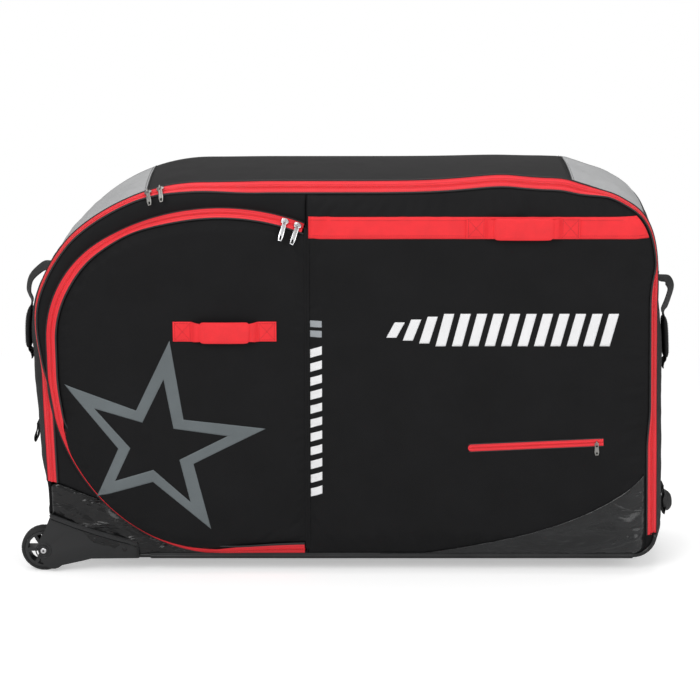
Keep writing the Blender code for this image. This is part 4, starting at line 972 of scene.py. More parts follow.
SLOPE = math.hypot(DOOR_RUN, CROWN)
half_tape("pocket_tape_flap", door_frames(), 0.0004, SLOPE / 2 - 0.0008, RED_TAPE, "flap", "red_tape",
          ("pocket_zip_tape_flap",))
near = SLOPE / 2 + 0.0008
half_tape("pocket_tape_door", door_frames(sunk=0.0065, late=0.45, held=near), near, SLOPE - 0.0004, RED_TAPE,
          "pocket_door", "red_tape", ("pocket_zip_tape_door",))
for tag, body_name, side, sunk in (("rim", "flap", -1, 0.0030), ("door", "pocket_door", 1, 0.0065)):
    teeth("pocket", tag, door_frames(sunk=sunk, late=0.30), SLOPE / 2, side, ((0.0060, 0.0013),), body_name)
piping("pocket_zip_piping_rim", door_frames(-0.0012, 0.0010), 0.0020, BLACK_PIPING, "flap", "black_fabric")
piping("pocket_zip_piping_door", door_frames(SLOPE + 0.0008, 0.0004, sunk=0.0075), 0.0018, BLACK_PIPING,
       "pocket_door", "black_fabric")


# Red webbing: a flat woven band sewn across the front, and two carry handles of the
# same webbing. Each handle is sewn down at both ends and bows out between them, where
# a sleeve is wrapped round it as a grip.
WEB_THICK = 0.0022
BAND_Z = BASE + 0.7125
BAND_W = 0.045
BAND_STEPS, BAND_COLUMNS = 109, 11
SIDE_NAME = {-1: "left", 1: "right"}


def webbing(name, colour, rib=0.0016, bump=0.5):
    """Ribbed webbing: cross ribs and fine lengthwise yarns, in the strap's own lengths."""
    mat, tree, base = blank_finish(name)
    place = put(tree, "ShaderNodeUVMap", uv_map="cloth")
    part = put(tree, "ShaderNodeSeparateXYZ", (0, place))
    yarn = combine(tree, "MULTIPLY", part, math.tau / 0.0012)
    zig = combine(tree, "SINE", yarn)
    shift = combine(tree, "MULTIPLY", zig, 0.9)
    ribs = combine(tree, "MULTIPLY", part.outputs[1], math.tau / rib)
    moved = combine(tree, "ADD", ribs, shift)
    wave = combine(tree, "SINE", moved)
    cloud = speckle(tree, place, 30.0, 4.0)
    shade = spread(tree, cloud, 0.3, 0.7, 0.94, 1.06)
    grain = spread(tree, wave, -1.0, 1.0, 0.86, 1.05)
    tone = combine(tree, "MULTIPLY", shade, grain)
    tinted(tree, base, colour, tone)
    relief = put(tree, "ShaderNodeBump", ("Strength", bump), ("Distance", 0.0005), ("Height", wave))
    surface(tree, base, relief, roughness=0.62)
    return mat


RED_WEBBING = webbing("red_webbing", (0.95, 0.019, 0.028))
BLACK_WEBBING = webbing("black_webbing", (0.0075, 0.0075, 0.008), bump=0.6)


def strap_along(name, path, wide, width, thick, material, body, slot, covers=(), lean=None, narrow=None):
    """Flat webbing along points; wide is its width's direction. It is thinner at the two
    selvedges, and finely stepped so that it bends smoothly."""
    frames = []
    for k, p in enumerate(path):
        a, b = beside(path, k)
        side = Vector(wide)
        if lean:
            side = (side + Vector(lean[k])).normalized()
        up = (b - a).cross(side).normalized()
        share = narrow[k] if narrow else 1.0
        frames.append((p, side * share, up))
    half, t = width / 2, thick / 2
    below = [(-half, -t * 0.5), (-half * 0.9, -t), (0.0, -t), (half * 0.9, -t), (half, -t * 0.5)]
    profile = below + [(a, -b) for a, b in below[::-1]]
    return fit(extrude(name, frames, profile), material, body, slot, *covers)


def standing(points, up=(0, -1, 0)):
    """A line of points whose stitches stand up towards the front, or another way."""
    return points, [Vector(up)] * len(points)


def stitch_box(name, corners, material, body, slot):
    """Lines of stitches round a patch of four corners, with the two diagonals."""
    ends = list(zip(corners, corners[1:] + corners[:1]))
    ends += [(corners[0], corners[2]), (corners[1], corners[3])]
    lines = [standing([Vector(a).lerp(Vector(b), k / 11) for k in range(12)]) for a, b in ends]
    return lay_pieces(name, lines, (0.0034, 0.0028, 0.0009, 0.0008, 0.05), material, body, slot)


def spline(points, steps):
    """A smooth line through points, evenly stepped between each two."""
    made = []
    count = len(points)
    for k in range(count - 1):
        p0, p1, p2, p3 = (Vector(points[max(k - 1, 0)]), Vector(points[k]), Vector(points[k + 1]),
                          Vector(points[min(k + 2, count - 1)]))
        for s in range(steps):
            t = s / steps
            made.append(0.5 * ((2 * p1) + (p2 - p0) * t + (2 * p0 - 5 * p1 + 4 * p2 - p3) * t * t
                               + (3 * p1 - p0 - 3 * p2 + p3) * t ** 3))
    made.append(Vector(points[-1]))
    return made


def front_of(*objs):
    """Gives the y of the first of these pieces met from the front, at any x and z."""
    graph = bpy.context.evaluated_depsgraph_get()
    trees = [BVHTree.FromObject(obj, graph) for obj in objs]

    def find(x, z, fallback=FACE):
        best = None
        for tree in trees:
            hit = tree.ray_cast(Vector((x, -0.4, z)), Vector((0.0, 1.0, 0.0)), 0.6)[0]
            if hit and (best is None or hit.y < best):
                best = hit.y
        return fallback if best is None else best
    return find


on_right, on_door = front_of(right_pad), front_of(door_pad)
panel_side = sorted((z, x) for x, z in corner_line + end_line)


def band_end(z):
    """The band's right end is cut to the slant of the panel's edge."""
    return lookup(panel_side, z) - 0.0045


def band_place(k, j):
    z = BAND_Z + BAND_W * (j / (BAND_COLUMNS - 1) - 0.5)
    x = mix(SEAM_X + 0.004, band_end(z), (k / BAND_STEPS) ** 0.92)
    y = on_right(x, z) - 0.0002
    selvedge = 0.55 if j in (0, BAND_COLUMNS - 1) else 1.0
    return (x, y - WEB_THICK * selvedge, z), (x, y + 0.0004, z), (z, x)


band = skin_of("front_band", BAND_STEPS + 1, BAND_COLUMNS, band_place)
fit(band, RED_WEBBING, "flap", "red_webbing", "webbing_band")
for tag, column, inset in (("upper", 9, -0.0022), ("lower", 1, 0.0022)):
    line = [Vector(band_place(k, column)[0]) + Vector((0, -0.0002, inset)) for k in range(BAND_STEPS)]
    lay_pieces("band_stitches_" + tag, [standing(line)], (0.0038, 0.0030, 0.0009, 0.0008, 0.05),
               RED_THREAD, "flap", "red_webbing")


def carry_handle(tag, cx, cz, length, find, below, body):
    """A handle sewn down at both ends, which bows out between over its wrapped grip."""
    bow, sewn_run, seats = 0.0125, 0.038, []
    for side in (-1, 1):
        spots = [(cx + side * (length / 2 - sewn_run * u), cz + v) for u in (0.0, 0.3, 0.6, 1.0) for v in
                 (-0.019, -0.01, 0.0, 0.01, 0.019)]
        seats.append(min(find(x, z) for x, z in spots) - below - GAP - WEB_THICK / 2)
    y = sum(seats) / 2

    def seat(x):
        return mix(*seats, ease((x - cx + length / 2) / length)) - y
    half, free = length / 2, length / 2 - sewn_run
    rising = [(-half, 0.0), (-half + 0.012, 0.0), (-free - 0.006, 0.0002), (-free, 0.0012),
              (-free + 0.007, 0.0075), (-free + 0.017, bow * 0.86), (-free * 0.45, bow)]
    points = rising + [(0.0, bow + 0.0006)] + [(-u, lift) for u, lift in rising[::-1]]
    path = spline([Vector((cx + u, y + seat(cx + u) - lift, cz)) for u, lift in points], 6)
    sag = [1.0 - 0.10 * ease((free - abs(p.x - cx)) / 0.02) for p in path]
    strap_along(tag + "_handle_strap", path, (0, 0, 1), 0.0415, WEB_THICK, RED_WEBBING, body, "red_webbing",
                (tag + "_handle_strap",), narrow=sag)
    middle = [p for p in path if abs(p.x - cx) < free - 0.016]
    frames = []
    for k, p in enumerate(middle):
        share = k / (len(middle) - 1)
        round_end = 1 - 0.22 * math.exp(-min(share, 1 - share) / 0.035)
        slump = 0.0006 * ripple(p.x, cz, 0.018, 31)
        frames.append((p + Vector((0, slump - 0.0004, 0)), Vector((0, 0, 1)) * round_end,
                       Vector((0, -1, 0)) * round_end))
    sleeve = extrude(tag + "_handle_grip", frames, squircle(0.0225, 0.0036, 28, 1, 0.55))
    fit(sleeve, RED_WEBBING, body, "red_webbing", tag + "_handle_grip")
    for side in (-1, 1):
        x0, x1 = cx + side * (half - 0.004), cx + side * (free + 0.003)
        z0, z1 = cz - 0.0175, cz + 0.0175
        face = seats[side > 0] - WEB_THICK / 2 - 0.0003
        corners = [Vector((x, face, z)) for x, z in ((x0, z0), (x1, z0), (x1, z1), (x0, z1))]
        stitch_box(tag + "_handle_stitches_" + SIDE_NAME[side], corners, RED_THREAD, body, "red_webbing")


carry_handle("band", 0.3485, BAND_Z, 0.229, on_right, WEB_THICK, "flap")
carry_handle("door", -0.2555, BASE + 0.4975, 0.211, on_door, 0.0, "pocket_door")


# Coated patches guard the lower corners: glossy black PVC that buckles into soft dents,
# with painted highlights on its creases' ridges and painted shade in their hollows. The
# right one rises in a curve to the end, with a hem and a row of stitches on its upper
# edge; the left one lies between the zips and the wheel housing, and its PVC is painted
# darker as shade.
def dents(name, colour, rough, scale=14.0, strength=0.5):
    """Coated cloth: a smooth skin with broad creases and a faint weave telegraphing. Its colour is painted
    lighter on the creases' ridges and darker in their hollows, as painted highlights and shade.
    """
    mat, tree, base = blank_finish(name)
    place = put(tree, "ShaderNodeTexCoord")
    stretch = put(tree, "ShaderNodeMapping", ("Vector", place.outputs["Object"]),
                  ("Scale", (0.55, 1.0, 1.5)), ("Rotation", (0.0, math.radians(20), 0.0)))
    fold = speckle(tree, stretch, scale, 3.0, roughness=0.5, distortion=1.2)
    fine = speckle(tree, place.outputs["Object"], 700.0, 2.0)
    # Painted highlight and shade: the colour follows the creases' height, lighter on ridges, darker in
    # hollows.
    shade = spread(tree, fold, 0.35, 0.7, 0.75, 1.5)
    tinted(tree, base, colour, shade)
    grain = put(tree, "ShaderNodeBump", ("Strength", 0.15), ("Distance", 0.0003), ("Height", fine))
    relief = put(tree, "ShaderNodeBump", ("Strength", strength), ("Distance", 0.012), ("Height", fold),
                 ("Normal", grain))
    surface(tree, base, relief, roughness=rough, specular_ior_level=0.32, coat_weight=0.22,
            coat_roughness=0.16)
    return mat


BLACK_PVC = dents("black_pvc", (0.0105, 0.0110, 0.0117), 0.27, strength=0.9)
PATCH_FROM, PATCH_TO = 0.060, 0.615
PATCH_ROWS, PATCH_COLUMNS = 90, 41


def patch_top(x):
    """The patch's upper edge: almost level along the base, then steeper towards the corner."""
    u = (x - PATCH_FROM) / (PATCH_TO - PATCH_FROM)
    return max(0.2721 * u ** 4 - 0.3864 * u ** 3 + 0.2809 * u ** 2 + 0.0169 * u + 0.0341, foot_z + 0.004)


side_line = sorted(((z, x) for x, z in RIGHT_SIDE), key=lambda p: p[0])


def side_x(z):
    return lookup(side_line, z)


def crease(x, z, deep, height, slope, about, half, start):
    """A straight fold in the patch, which fades in along x from its start."""
    away = (z - height - slope * (x - about)) / half
    return deep * math.exp(-(away ** 2)) * ease((x - start) / 0.09)


def patch_spot(k, j):
    x = mix(PATCH_FROM + 0.004, PATCH_TO, k / (PATCH_ROWS - 1))
    z = mix(foot_z + 0.0004, patch_top(x), j / (PATCH_COLUMNS - 1))
    return min(x, side_x(z) - 0.0070), z


PATCH_SPOTS = [patch_spot(k, j) for k in range(PATCH_ROWS) for j in range(PATCH_COLUMNS)]
PATCH_EDGE = edge_distance(PATCH_SPOTS, RIGHT_BOUND)


def patch_place(r, c):
    at = r * PATCH_COLUMNS + c
    (x, z), d, v = PATCH_SPOTS[at], PATCH_EDGE[at], c / (PATCH_COLUMNS - 1)
    under = FRONT - on_right(x, z, FRONT)
    hem = 0.0008 * math.exp(-(((v - 0.955) / 0.02) ** 2)) * ease((x - 0.12) / 0.1)
    sag = z + 0.10 * (x - 0.4)
    dent = (0.0052 * ripple(x * 0.35, sag, 0.030, 41) + 0.0020 * ripple(x * 0.5, sag, 0.012, 42)
            + crease(x, z, 0.0062, 0.080, 0.34, 0.60, 0.0065, 0.47)
            - crease(x, z, 0.0030, 0.066, 0.10, 0.54, 0.006, 0.42))
    dent *= ease(d / 0.03) * ease((1 - v) / 0.2) * ease((x - 0.22) / 0.2)
    lift = 0.0016 + hem + max(dent, -0.0008) + 0.0006
    return (x, FRONT - under - lift, z), (x, FRONT - under + 0.0006, z), (x, z)


patch_right = skin_of("pvc_patch_right", PATCH_ROWS, PATCH_COLUMNS, patch_place)
fit(patch_right, BLACK_PVC, "flap", "black_coated", "corner_patch_right")
BLACK_THREAD = moulded("black_thread", (0.010, 0.010, 0.011), 0.5)
hem_line = [patch_place(k, PATCH_COLUMNS - 2)[0] for k in range(18, PATCH_ROWS)]
lay_pieces("corner_patch_right_stitches", [standing([Vector((x, y - 0.0006, z)) for x, y, z in hem_line])],
           (0.0038, 0.0028, 0.0008, 0.0006, 0.05), BLACK_THREAD, "flap", "black_coated")

# Cloth face of the corner behind the right pad's rounded foot, below the zip's end.
corner_run = sorted((EDGE[i][1], EDGE[i][0]) for i in around("right_end", "right_foot"))


def foot_corner(k, c):
    z = mix(BASE + 0.0030, BASE + 0.053, k / 25)
    x = mix(0.596, lookup(corner_run, z) - 0.0012, c / 12)
    return (x, FRONT + 0.0050 - 0.0015 * math.sin(math.pi * c / 12), z), (x, FRONT + 0.0075, z), (x, z)


fit(skin_of("foot_corner_cloth", 26, 13, foot_corner), BLACK_CLOTH, "shell", "black_fabric")
# The same black PVC on the left patch, its colour painted darker as shade.
SHADED_LEFT_PVC = dents("black_pvc_left", (0.0036, 0.0037, 0.0041), 0.22, strength=1.3)

# The left patch fills the corner below the rim, between the two zips and the base.
outer_low = [inward(i, WALL + GAP) for i in range(SPAN["ramp"][0], SPAN["ramp"][1])]
left_side = [inward(i, WALL + GAP) for i in around("left_end", "left_end")
             if EDGE[i][1] - BASE < ZIP_START_Z]
meet = flap_spot(ZIP[0])
tip_k = max(k for k in range(len(DOOR)) if DOOR[k][1] > foot_z + 0.0045 and DOOR[k][0] < DOOR_CX)
upper_line = [(DOOR[k][0] + DOOR_N[k][0] * 0.0004, DOOR[k][1] + DOOR_N[k][1] * 0.0004)
              for k in range(rim_stop, tip_k + 1)]
lower_line = [left_side[0]] + outer_low[::-1] + [(RAMP_X + 0.01, foot_z), (upper_line[-1][0], foot_z)]
join_line = [left_side[0]] + left_side[1:] + [(meet[0] + 0.0005, meet[1] - 0.0005), upper_line[0]]
close_line = [lower_line[-1], upper_line[-1]]
LEFT_ROWS = patch_grid(lower_line, upper_line, join_line, close_line, 60, 34)
left_bound = lower_line + close_line + upper_line[::-1] + join_line[::-1]


def patch_dents(x, z, d):
    along, across = x * 0.85 - z * 0.52, x * 0.52 + z * 0.85
    pulls = ripple(along * 0.30, across, 0.020, 44) + 0.5 * ripple(along * 0.4, across, 0.009, 45)
    return (0.0038 * pulls + 0.0018 * ripple(x, z, 0.06, 46)) * ease(d / 0.012)


pad_panel("pvc_patch_left", LEFT_ROWS, left_bound, None, 0.0058, FRONT, -1, SHADED_LEFT_PVC, "shell", "black_coated",
          ("corner_patch_left",), relief=patch_dents, round_over=0.007)

# The base is a tub of duller coated cloth over the stiff board; it turns up on the
# slope between the wheels and round the right foot.
BASE_PVC = dents("base_pvc", (0.0120, 0.0125, 0.0130), 0.38, scale=9.0, strength=0.3)
wall("base_tub", around("right_foot", "ramp"), BASE_PVC, "black_coated", fold=0.0008, seed=2.0, square=True)


# The back isn't seen in the picture. It is one plain padded panel, and its edge is
# bound in black tape.
back_line = [inward(i, 0.0103 - growth(i)) for i in range(TURNS)]
b_top = [back_line[i] for i in range(SPAN["left_corner"][0] + 42, SPAN["right_corner"][0] + 30)]
b_right = [back_line[i] for i in range(SPAN["right_corner"][0] + 29, SPAN["right_foot"][0] + 7)][::-1]
b_low = [back_line[i] for i in range(SPAN["right_foot"][0] + 6, SPAN["ramp"][0] + 8)][::-1]
b_left = [back_line[i % TURNS] for i in range(SPAN["ramp"][0] + 7, TURNS + SPAN["left_corner"][0] + 43)]
BACK_ROWS = patch_grid(b_low, b_top, b_left, b_right, 110, 80)


def back_waves(x, z, d):
    return 0.0016 * ripple(x, z, 0.15, 51) + 0.0008 * ripple(x, z, 0.05, 52)


BACK_EDGE = b_low + b_right[1:] + b_top[::-1][1:] + b_left[::-1][1:]
pad_panel("back_pad", BACK_ROWS, BACK_EDGE, None, 0.0075, BACK + GAP, 1, BLACK_CLOTH, "shell", "black_fabric",
          ("back_panel",), relief=back_waves, thick=0.006, cap=0.005)
bind_frames = []
for i in range(0, TURNS, 2):
    (x, z), (nx, nz) = inward(i, 0.005 - growth(i)), OUTWARD[i]
    bind_frames.append((Vector((x, BACK + 0.0012, z)), Vector((nx, 0, nz)), Vector((0, 1, 0))))
BINDING = webbing("black_binding", (0.0085, 0.0085, 0.009), rib=0.0011, bump=0.35)
fit(extrude("back_binding", bind_frames, squircle(0.0052, 0.0026, 16, 1, 0.6), ring=True), BINDING, "shell",
    "black_fabric", "back_binding")


# Prints on the cloth: a grey five-pointed star in outline on the wheel pocket's door,
# plain slanted bars in white beside the seam and across the front, and two pale
# stripes. Each is a thin skin of ink that follows the padded surface.
def printed(name, grid, height_at, material, body, closed=False):
    """A print over a grid of (x, z) points, laid on the cloth below it."""
    def place(r, c):
        x, z = grid[r][c]
        y = height_at(x, z)
        return (x, y - 0.0008, z), (x, y + 0.0003, z), (x, z)
    return fit(skin_of(name, len(grid), len(grid[0]), place, closed), material, body, "black_fabric")


GREY_INK = weave("grey_star_ink", (0.118, 0.136, 0.143), 0.5, bump=0.18, gloss=0.35)
WHITE_INK = weave("white_bar_ink", (0.80, 0.80, 0.81), 0.45, bump=0.12, mottle=0.04)
PALE_INK = weave("pale_bar_ink", (0.30, 0.32, 0.34), 0.45, bump=0.12)
STAR_OUT = [(-0.3684, 0.5099), (-0.4407, 0.3603), (-0.5866, 0.4162), (-0.4795, 0.2780), (-0.5275, 0.1722),
            (-0.4094, 0.2058), (-0.2903, 0.1019), (-0.3244, 0.2452), (-0.1739, 0.3214), (-0.3433, 0.3409)]
STAR_IN = [(-0.3826, 0.4269), (-0.4282, 0.3344), (-0.5265, 0.3647), (-0.4545, 0.2791), (-0.4877, 0.2080),
           (-0.4079, 0.2321), (-0.3323, 0.1617), (-0.3534, 0.2540), (-0.2528, 0.3052), (-0.3644, 0.3214)]


def round_ring(points, steps=24):
    made = []
    for a, b in zip(points, points[1:] + points[:1]):
        made += [between(a, b, s / steps) for s in range(steps)]
    return made


star_grid = [[between(a, b, s / 8) for s in range(9)]
             for a, b in zip(round_ring(STAR_OUT), round_ring(STAR_IN))]
printed("star_print", star_grid, on_door, GREY_INK, "pocket_door", closed=True)


def slanted(x0, x1, z0, z1, slant):
    """A parallelogram of grid points whose top is moved along by slant."""
    return [[(mix(x0, x1, c / 7) + slant * r / 15, mix(z0, z1, r / 15)) for c in range(8)]
            for r in range(16)]


BAR_Z, BAR_HALF, BAR_FROM, BAR_STEP = 0.532, 0.034, 0.074, 0.0335
for k in range(14):
    start = BAR_FROM + k * BAR_STEP
    tall = BAR_HALF - 0.006 * max(3 - k, 0)
    printed("front_bar_%02d" % k, slanted(start, start + 0.0205, BAR_Z - tall, BAR_Z + tall, 0.017), on_right,
            WHITE_INK, "flap")
SEAM_BAR = (-0.0815, -0.0575)
for k in range(11):
    z = 0.172 + k * 0.030
    bar = [[(x, up + (x + 0.082) * 0.35) for x, up in row] for row in slanted(*SEAM_BAR, z, z + 0.0175, 0.0)]
    printed("seam_bar_%02d" % k, bar, on_right, WHITE_INK, "flap")
for k, z in enumerate((0.5165, 0.5375)):
    printed("seam_stripe_%d" % k, slanted(*SEAM_BAR, z, z + 0.0135, 0.0), on_right, PALE_INK, "flap")


# A small pocket behind the right panel: one red zip on the front, laid a little uphill,
# its left end rounded off, and a thin pouch of lining cloth sewn behind it.
SMALL_MID = (0.384, BASE + 0.2545)
SMALL_LONG, SMALL_TALL, SMALL_SLOPE = 0.280, 0.0146, 0.046


def small_frames(across=0.0, lift=0.0, trim=0.0):
    run, rise = math.cos(SMALL_SLOPE), math.sin(SMALL_SLOPE)
    frames = []
    for k in range(150):
        u = mix(-SMALL_LONG / 2 + trim, SMALL_LONG / 2 - trim, k / 149)
        x, z = SMALL_MID[0] + u * run - across * rise, SMALL_MID[1] + u * rise + across * run
        y = min(on_right(x, z), FACE + 0.0004) - lift
        left = min(1.0, math.sqrt(max(1 - (1 - min((u + SMALL_LONG / 2) / 0.007, 1.0)) ** 2, 0.04)))
        frames.append((Vector((x, y, z)), Vector((-rise, 0, run)) * left, Vector((0, -1, 0))))
    return frames


half_tall, POUCH_DEEP = SMALL_TALL / 2, 0.188
for tag, side in (("upper", 1), ("lower", -1)):
    near, far = side * 0.0006, side * half_tall
    half_tape("small_tape_" + tag, small_frames(), near, far, RED_TAPE, "flap", "red_tape",
              ("small_pocket_zip",) if side > 0 else ())
    line = small_frames(trim=0.004)
    start = COIL_PITCH / 2 if side > 0 else 0.0
    lay_pieces("small_coil_" + tag, [offset_line(line, side * 0.0010, 0.0012, start)],
               (COIL_PITCH * 0.8, 0.0016, 0.0030, 0.0018, 0.03), RED_COIL, "flap", "red_tape")
    lay_pieces("small_stitches_" + tag, [offset_line(line, side * (half_tall - 0.0016), 0.0014)],
               (0.0036, 0.0027, 0.0008, 0.0006, 0.06), RED_THREAD, "flap", "red_tape")
for tag, side in (("upper", 1), ("lower", -1)):
    piping("small_zip_lip_" + tag, small_frames(side * (half_tall + 0.0012), 0.0004), 0.0014, BLACK_PIPING,
           "flap", "black_fabric")
LINING = weave("grey_lining_nylon", (0.030, 0.031, 0.035), 0.6, yarn=0.0009, bump=0.2, mottle=0.12,
               crease=0.25)
pouch_x, pouch_top = (0.244, 0.524), BASE + 0.267
pouch_grid = [[(mix(*pouch_x, c / 40), mix(pouch_top - POUCH_DEEP, pouch_top, r / 28)) for c in range(41)]
              for r in range(29)]
pouch_edge = [pouch_grid[r][c] for r, c in ((0, 0), (0, -1), (-1, -1), (-1, 0), (0, 0))]


def pouch_waves(x, z, d):
    return 0.0012 * ripple(x, z, 0.04, 61)


pad_panel("small_pouch", pouch_grid, pouch_edge, None, 0.0012, FRONT + PAD + 0.0026, 1, LINING, "flap",
          "lining", ("small_pocket_pouch",), relief=pouch_waves, thick=0.0018, round_over=0.01)


# The wheel pocket is lined with a pan of grey nylon that hangs behind its door. Rings
# of points run round its wall, and then in over the flat back of the pan.
def pocket_lining():
    mid, cloth = (-0.30, BASE + 0.36), 0.0015
    rings = [(0.0012, FRONT + 0.0008), (0.0016, FRONT + 0.02), (0.0022, FRONT + 0.042),
             (0.0030, FRONT + 0.0590), (0.0080, FRONT + 0.0632)]
    shares = (0.75, 0.5, 0.25, 0.08, 0.002)

    def place(k, n):
        if n >= len(rings):
            x, z = door_inside(k, 0.0080)
            x, share = min(x, SEAM_X - 0.0010), shares[n - len(rings)]
            spot = between(mid, (x, z), share)
            y = FRONT + 0.0636 + 0.0008 * ripple(*spot, 0.06, 72)
            return (spot[0], y, spot[1]), (spot[0], y - cloth, spot[1]), spot
        amount, y = rings[n]
        wave = 0.0010 * ripple(k * 0.006, y, 0.05, 71) if 0 < n < 4 else 0.0
        x, z = door_inside(k, amount + abs(wave))
        ix, iz = door_inside(k, amount + abs(wave) + cloth)
        return ((min(x, SEAM_X - 0.0010), y, z),
                (min(ix, SEAM_X - 0.0025), y - (cloth if n == 4 else 0.0), iz), (k * 0.008, y))
    pan = skin_of("wheel_pocket_lining", len(DOOR), len(rings) + len(shares), place, closed=True)
    fit(pan, LINING, "flap", "lining", "wheel_pocket_liner")


pocket_lining()


# Inside: the stiff board on the base, and against the back the webbing of two straps
# that tie the frame down. Their buckles are finished further down.
BOARD = moulded("board_fibre", (0.030, 0.030, 0.032), 0.6, grain=250.0, bump=0.2, mottle=0.15)


def refinish(node, material):
    """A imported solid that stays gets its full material."""
    for holder in nodes[node].material_slots:
        holder.material = material


for tag, x in (("left", -0.210), ("right", 0.210)):
    y = BACK - WALL - GAP - WEB_THICK / 2
    path = [Vector((x + 0.0010 * ripple(z, x, 0.1, 81), y - 0.0006 - 0.0006 * ripple(z, x, 0.08, 82), z))
            for z in np.linspace(BASE + 0.181, BASE + 0.619, 60)]
    strap_along("tie_webbing_" + tag, path, (1, 0, 0), 0.0376, 0.0017, BLACK_WEBBING, "shell",
                "black_webbing", ("tie_strap_" + tag,))
    stitch_box("tie_stitches_" + tag, [Vector((x + u * 0.015, y - 0.0024, BASE + z)) for u, z in
                                       ((-1, 0.186), (1, 0.186), (1, 0.216), (-1, 0.216))],
               BLACK_THREAD, "shell", "black_webbing")
refinish("base_board", BOARD)


# Handle on each end: black webbing sewn on above, which bows out into a loop and runs
# down through a padded grip in black cloth to its second seat. Lower down sits a short
# folded tab. All of it follows the swell of the end wall.
MID_Y = (FRONT + BACK) / 2
END_WEB, END_THICK = 0.0375, 0.0025


def wall_line(side):
    first, last = ("left_end", "left_corner") if side < 0 else ("right_corner", "right_end")
    return sorted((EDGE[i][1], EDGE[i][0] + OUTWARD[i][0] * (belly(i) + growth(i) * 0.6))
                  for i in around(first, last) if abs(OUTWARD[i][0]) > 0.4)


WALLS = {side: wall_line(side) for side in (-1, 1)}


def wall_x(side, z):
    return lookup(WALLS[side], z)


def on_wall(side, out, height, y=0.0):
    z = BASE + height
    return Vector((wall_x(side, z) + side * (out + 0.0008), MID_Y + y, z))


GRIP_CLOTH = weave("grip_cloth", (0.0095, 0.0095, 0.010), 0.7, yarn=0.0010, bump=0.3, crease=0.3, gloss=0.25)


def off_face(path, k, side, level=0.0):
    """The direction off a strap's face at one of its points, turned outward."""
    a, b = beside(path, k)
    off = (b - a).cross(Vector((0, 1, 0))).normalized()
    return off if off.x * side + level * max(off.z, 0.0) >= 0 else -off


def end_handle(side, loop, grip_high, grip_low, twist):
    tag = SIDE_NAME[side]
    points = [on_wall(side, out, height, y) for out, height, y in loop]
    points += [on_wall(side, 0.0068, mix(grip_high, grip_low, n / 3)) for n in range(4)]
    points += [on_wall(side, 0.0030, grip_low - 0.008), on_wall(side, 0.0014, grip_low - 0.016),
               on_wall(side, 0.0014, grip_low - 0.021)]
    path = spline(points, 6)
    lean_by = []
    for k, p in enumerate(path):
        free = ease((BASE + loop[1][1] - p.z) / 0.008 + 0.2) * ease((p.z - BASE - grip_high) / 0.02)
        lean_by.append(tuple(off_face(path, k, side, 1.0) * twist * free))
    narrow = [1.0 - 0.16 * ease(1 - abs(p.z - BASE - (loop[0][1] + grip_high) / 2) / 0.05) for p in path]
    strap_along("end_webbing_" + tag, path, (0, 1, 0), END_WEB, END_THICK, BLACK_WEBBING, "shell",
                "black_webbing", ("end_strap_" + tag,), lean=lean_by, narrow=narrow)
    middle = [p for p in path if grip_low + 0.001 < p.z - BASE < grip_high - 0.001]
    frames = []
    for k, p in enumerate(middle):
        share = k / (len(middle) - 1)
        a, b = beside(middle, k)
        up = (b - a).cross(Vector((0, 1, 0))).normalized()
        full = 1 - 0.30 * math.exp(-min(share, 1 - share) / 0.05) + 0.02 * ripple(p.z, side, 0.018, 91)
        frames.append((p, Vector((0, 1, 0)) * (0.6 + 0.4 * full), up * full))
    pad = extrude("end_pad_" + tag, frames, squircle(0.0222, 0.0064, 32, 0.7, 0.75))
    fit(pad, GRIP_CLOTH, "shell", "black_fabric", "end_grip_" + tag)
    sew = [standing([p + Vector((side * 0.0062, y, 0)) for p in middle[2:-2]], (side, 0, 0))
           for y in (-0.0150, 0.0150)]
    lay_pieces("end_pad_stitches_" + tag, sew, (0.0036, 0.0027, 0.0008, 0.0008, 0.05), BLACK_THREAD,
               "shell", "black_fabric")
    seats = []
    for z0, z1 in ((loop[0][1], loop[0][1] - 0.016), (grip_low - 0.021, grip_low - 0.011)):
        for y0, y1, za, zb in ((-0.015, 0.015, z0, z0), (-0.015, 0.015, z1, z1),
                               (-0.015, 0.015, z0, z1), (0.015, -0.015, z0, z1)):
            line = [on_wall(side, 0.0032, mix(za, zb, n / 9), mix(y0, y1, n / 9)) for n in range(10)]
            seats.append(standing(line, (side, 0, 0)))
    lay_pieces("end_seat_stitches_" + tag, seats, (0.0036, 0.0028, 0.0009, 0.0008, 0.05), BLACK_THREAD,
               "shell", "black_webbing")


end_handle(-1, ((0.0014, 0.624, 0), (0.0016, 0.606, 0), (0.0150, 0.596, 0.002), (0.0262, 0.574, 0.003),
                (0.0215, 0.548, 0.002), (0.0105, 0.531, 0)), 0.514, 0.424, 0.42)
end_handle(1, ((0.0014, 0.590, 0), (0.0016, 0.575, 0), (0.0180, 0.572, -0.003), (0.0265, 0.556, -0.005),
               (0.0180, 0.530, -0.004), (0.0085, 0.507, 0)), 0.492, 0.402, 0.60)


def end_tab(side, high, low, turn, outs):
    """A loop of webbing, folded double; the fold hangs down, and turns its face to the front."""
    tag = SIDE_NAME[side]
    shares = (1.0, 0.75, 0.50, 0.18, 0.04, 0.12, 0.34, 0.62, 0.82, 1.0)
    path = spline([on_wall(side, out, mix(low, high, share)) for out, share in zip(outs, shares)], 6)
    lean_by = []
    for k, p in enumerate(path):
        fold = ease((BASE + mix(low, high, 0.75) - p.z) / (0.35 * (high - low)))
        lean_by.append(tuple(off_face(path, k, side) * turn * fold))
    strap_along("end_fold_" + tag, path, (0, 1, 0), 0.0360, 0.0021, BLACK_WEBBING, "shell", "black_webbing",
                ("end_tab_" + tag,), lean=lean_by)


end_tab(-1, 0.259, 0.217, 0.0,
        (0.0014, 0.0014, 0.0038, 0.0065, 0.0100, 0.0122, 0.0112, 0.0065, 0.0046, 0.0042))
end_tab(1, 0.119, 0.060, 0.75,
        (0.0014, 0.0016, 0.0062, 0.0092, 0.0125, 0.0158, 0.0150, 0.0096, 0.0048, 0.0042))


